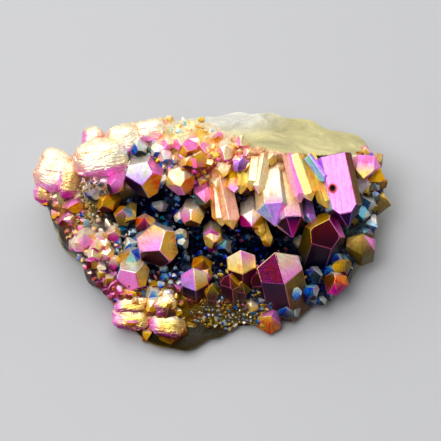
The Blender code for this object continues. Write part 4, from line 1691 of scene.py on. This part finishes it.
@dataclass(frozen=True)
class AuraCoat:
    """The thin metal film on the quartz: strong iridescent colours with a soft metallic shine."""

    name: str
    metallic: float = 0.6
    roughness: float = 0.36
    drift: float = 0.07
    line_height: float = 0.00005
    grain_scale: float = 2600.0
    grain_height: float = 0.00004
    pit_depth: float = 0.00015

    def material(self, groups: dict[str, bpy.types.NodeTree]) -> bpy.types.Material:
        """Makes the material.

        Args:
            groups: The shared node groups by name.

        Returns:
            The material.
        """
        material, shader, add = new_material(self.name)
        shader.inputs["Metallic"].default_value = self.metallic
        shader.inputs["Specular IOR Level"].default_value = 0.2
        shader.inputs["Coat Weight"].default_value = 0.12
        shader.inputs["Coat Roughness"].default_value = 0.12
        coat = add("Attribute", attribute_name="coat").outputs
        film = add("Group", node_tree=groups["film_drift"], Color=coat["Color"], Amount=self.drift)
        pits = add("Group", node_tree=groups["etch_pits"], Amount=coat["Alpha"]).outputs["Mask"]
        # The pits are painted near black as painted shade, and sunk by a bump.
        colour = add("Mix", data_type="RGBA", in0=pits, in6=film.outputs["Color"], in7=PIT_SHADE)
        lines = add("Group", node_tree=groups["growth_lines"]).outputs["Height"]
        grain = add("Group", node_tree=groups["fine_grain"], Scale=self.grain_scale).outputs["Height"]
        bump = add("Bump", invert=True, Strength=1.0, Distance=self.pit_depth, Height=pits)
        normal = bump.outputs["Normal"]
        for strength, depth, height in ((0.8, self.line_height, lines), (0.6, self.grain_height, grain)):
            bump = add("Bump", Strength=strength, Distance=depth, Height=height, Normal=normal)
            normal = bump.outputs["Normal"]
        gloss = add("MapRange", Value=lines, To_Min=self.roughness - 0.08, To_Max=self.roughness + 0.16)
        roughness = gloss.outputs["Result"]
        feed(material.node_tree, shader, Base_Color=colour.outputs[2], Roughness=roughness, Normal=normal)
        return material


@dataclass(frozen=True)
class MilkyQuartz:
    """The bare stone: cloudy, a little translucent, with pale veils and a waxy shine."""

    name: str
    roughness: float = 0.38
    veil_scale: float = 130.0
    grain_scale: float = 1500.0
    grain_height: float = 0.00008

    def material(self, groups: dict[str, bpy.types.NodeTree]) -> bpy.types.Material:
        """Makes the material.

        Args:
            groups: The shared node groups by name.

        Returns:
            The material.
        """
        material, shader, add = new_material(self.name)
        shader.inputs["Subsurface Weight"].default_value = 0.35
        shader.inputs["Subsurface Radius"].default_value = (1.0, 0.9, 0.6)
        shader.inputs["Subsurface Scale"].default_value = 0.003
        shader.inputs["Specular IOR Level"].default_value = 0.12
        coat = add("Attribute", attribute_name="coat").outputs["Color"]
        veils = add("TexNoise", Scale=self.veil_scale, Detail=5.0, Roughness=0.65, Distortion=0.8)
        feed(material.node_tree, veils, Vector=add("TexCoord").outputs["Object"])
        veil = veils.outputs["Fac"]
        bright = add("MapRange", Value=veil, From_Min=0.3, From_Max=0.7, To_Min=0.62, To_Max=1.3)
        tone = add("HueSaturation", Value=bright.outputs["Result"], Color=coat).outputs["Color"]
        grain = add("Group", node_tree=groups["fine_grain"], Scale=self.grain_scale).outputs["Height"]
        normal = add("Bump", Strength=0.5, Distance=self.grain_height, Height=grain).outputs["Normal"]
        gloss = add("MapRange", Value=veil, To_Min=self.roughness - 0.1, To_Max=self.roughness + 0.2)
        roughness = gloss.outputs["Result"]
        feed(material.node_tree, shader, Base_Color=tone, Roughness=roughness, Normal=normal)
        return material


@dataclass
class Studio:
    """The pale floor, the soft lights and the camera."""

    lens: float = 250.0
    distance: float = 0.7556
    aim: tuple[float, float] = (1.625, 2.5)
    floor_size: float = 3.0

    def build_floor(self) -> None:
        """Lays a plain pale floor."""
        deselect()
        bpy.ops.mesh.primitive_plane_add(size=self.floor_size, location=(0, 0, 0))
        floor = bpy.context.object
        floor.name = "studio_floor"
        material, shader, _ = new_material("pale_floor")
        shader.inputs["Base Color"].default_value = (0.42, 0.42, 0.43, 1)
        shader.inputs["Roughness"].default_value = 0.7
        floor.data.materials.append(material)

    def add_light(self, name: str, place: Vector, size: float, power: float) -> None:
        """Hangs a square soft light that looks at the cluster.

        Args:
            name: What it is called.
            place: Where it hangs, in metres.
            size: Its side in metres.
            power: Its power in watts.
        """
        light = bpy.data.lights.new(name, "AREA")
        light.size, light.energy = size, power
        holder = bpy.data.objects.new(name, light)
        holder.matrix_world = Matrix.Translation(place) @ place.to_track_quat("Z", "Y").to_matrix().to_4x4()
        bpy.context.scene.collection.objects.link(holder)

    def build_lights(self) -> None:
        """Hangs the key light over the slab's side, and a fill and a rim light."""
        self.add_light("key_light", (RIGHT * -0.18 + UP * 0.42 + OUT * 0.36), 0.85, 5.0)
        self.add_light("fill_light", (RIGHT * -0.2 + UP * 0.12 + OUT * 0.75), 0.35, 2.6)
        self.add_light("rim_light", (RIGHT * 0.6 + UP * 0.45 + OUT * 0.05), 0.3, 1.2)
        world = bpy.data.worlds.new("studio_air")
        world.use_nodes = True
        world.node_tree.nodes["Background"].inputs["Color"].default_value = (0.9, 0.93, 1.0, 1)
        world.node_tree.nodes["Background"].inputs["Strength"].default_value = 0.22
        bpy.context.scene.world = world
        bpy.context.scene.view_settings.view_transform = "Standard"

    def build_camera(self) -> None:
        """Sets the camera square to the crystal face."""
        camera = bpy.data.cameras.new("camera")
        camera.lens, camera.sensor_width, camera.clip_start = self.lens, 36.0, 0.01
        holder = bpy.data.objects.new("camera", camera)
        place = on_face(*self.aim, 0) + OUT * self.distance
        holder.matrix_world = Matrix.Translation(place) @ FACE_TURN
        bpy.context.scene.collection.objects.link(holder)
        bpy.context.scene.camera = holder


def finish_piece(piece: bpy.types.Object, material: bpy.types.Material | None) -> None:
    """Hands a piece over: its material and its body.

    Args:
        piece: The finished piece.
        material: Its material, or None where it has its own already.
    """
    if material:
        piece.data.materials.clear()
        piece.data.materials.append(material)
        for polygon in piece.data.polygons:
            polygon.use_smooth = False
    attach(piece, BODY)
    triangles = sum(len(polygon.vertices) - 2 for polygon in piece.data.polygons)
    log.info("%s: %d triangles", piece.name, triangles)


def main() -> None:
    """Builds the cluster and its studio."""
    logging.basicConfig(level=logging.INFO, format="%(message)s", stream=sys.stdout)
    noise.seed_set(NOISE_SEED)  # noise_vector takes its offsets from the clock otherwise
    groups = {tree.name: tree for tree in (film_drift(), growth_lines(), fine_grain(), etch_pits())}
    crystal_coat = AuraCoat("crystal_coat").material(groups)
    matrix_coat = AuraCoat("matrix_coat", roughness=0.34, drift=0.08, grain_scale=1500.0, grain_height=0.0002)
    chunk = Chunk()
    matrix = chunk.build()
    chunk.dress(matrix_coat.material(groups), MilkyQuartz("milky_quartz").material(groups))
    finish_piece(matrix, None)
    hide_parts(NODE)
    growth = Growth(chunk)
    for piece in (*growth.build_points(), growth.build_druse()):
        finish_piece(piece, crystal_coat)
    studio = Studio()
    studio.build_floor()
    studio.build_lights()
    studio.build_camera()


if __name__ == "__main__":
    main()
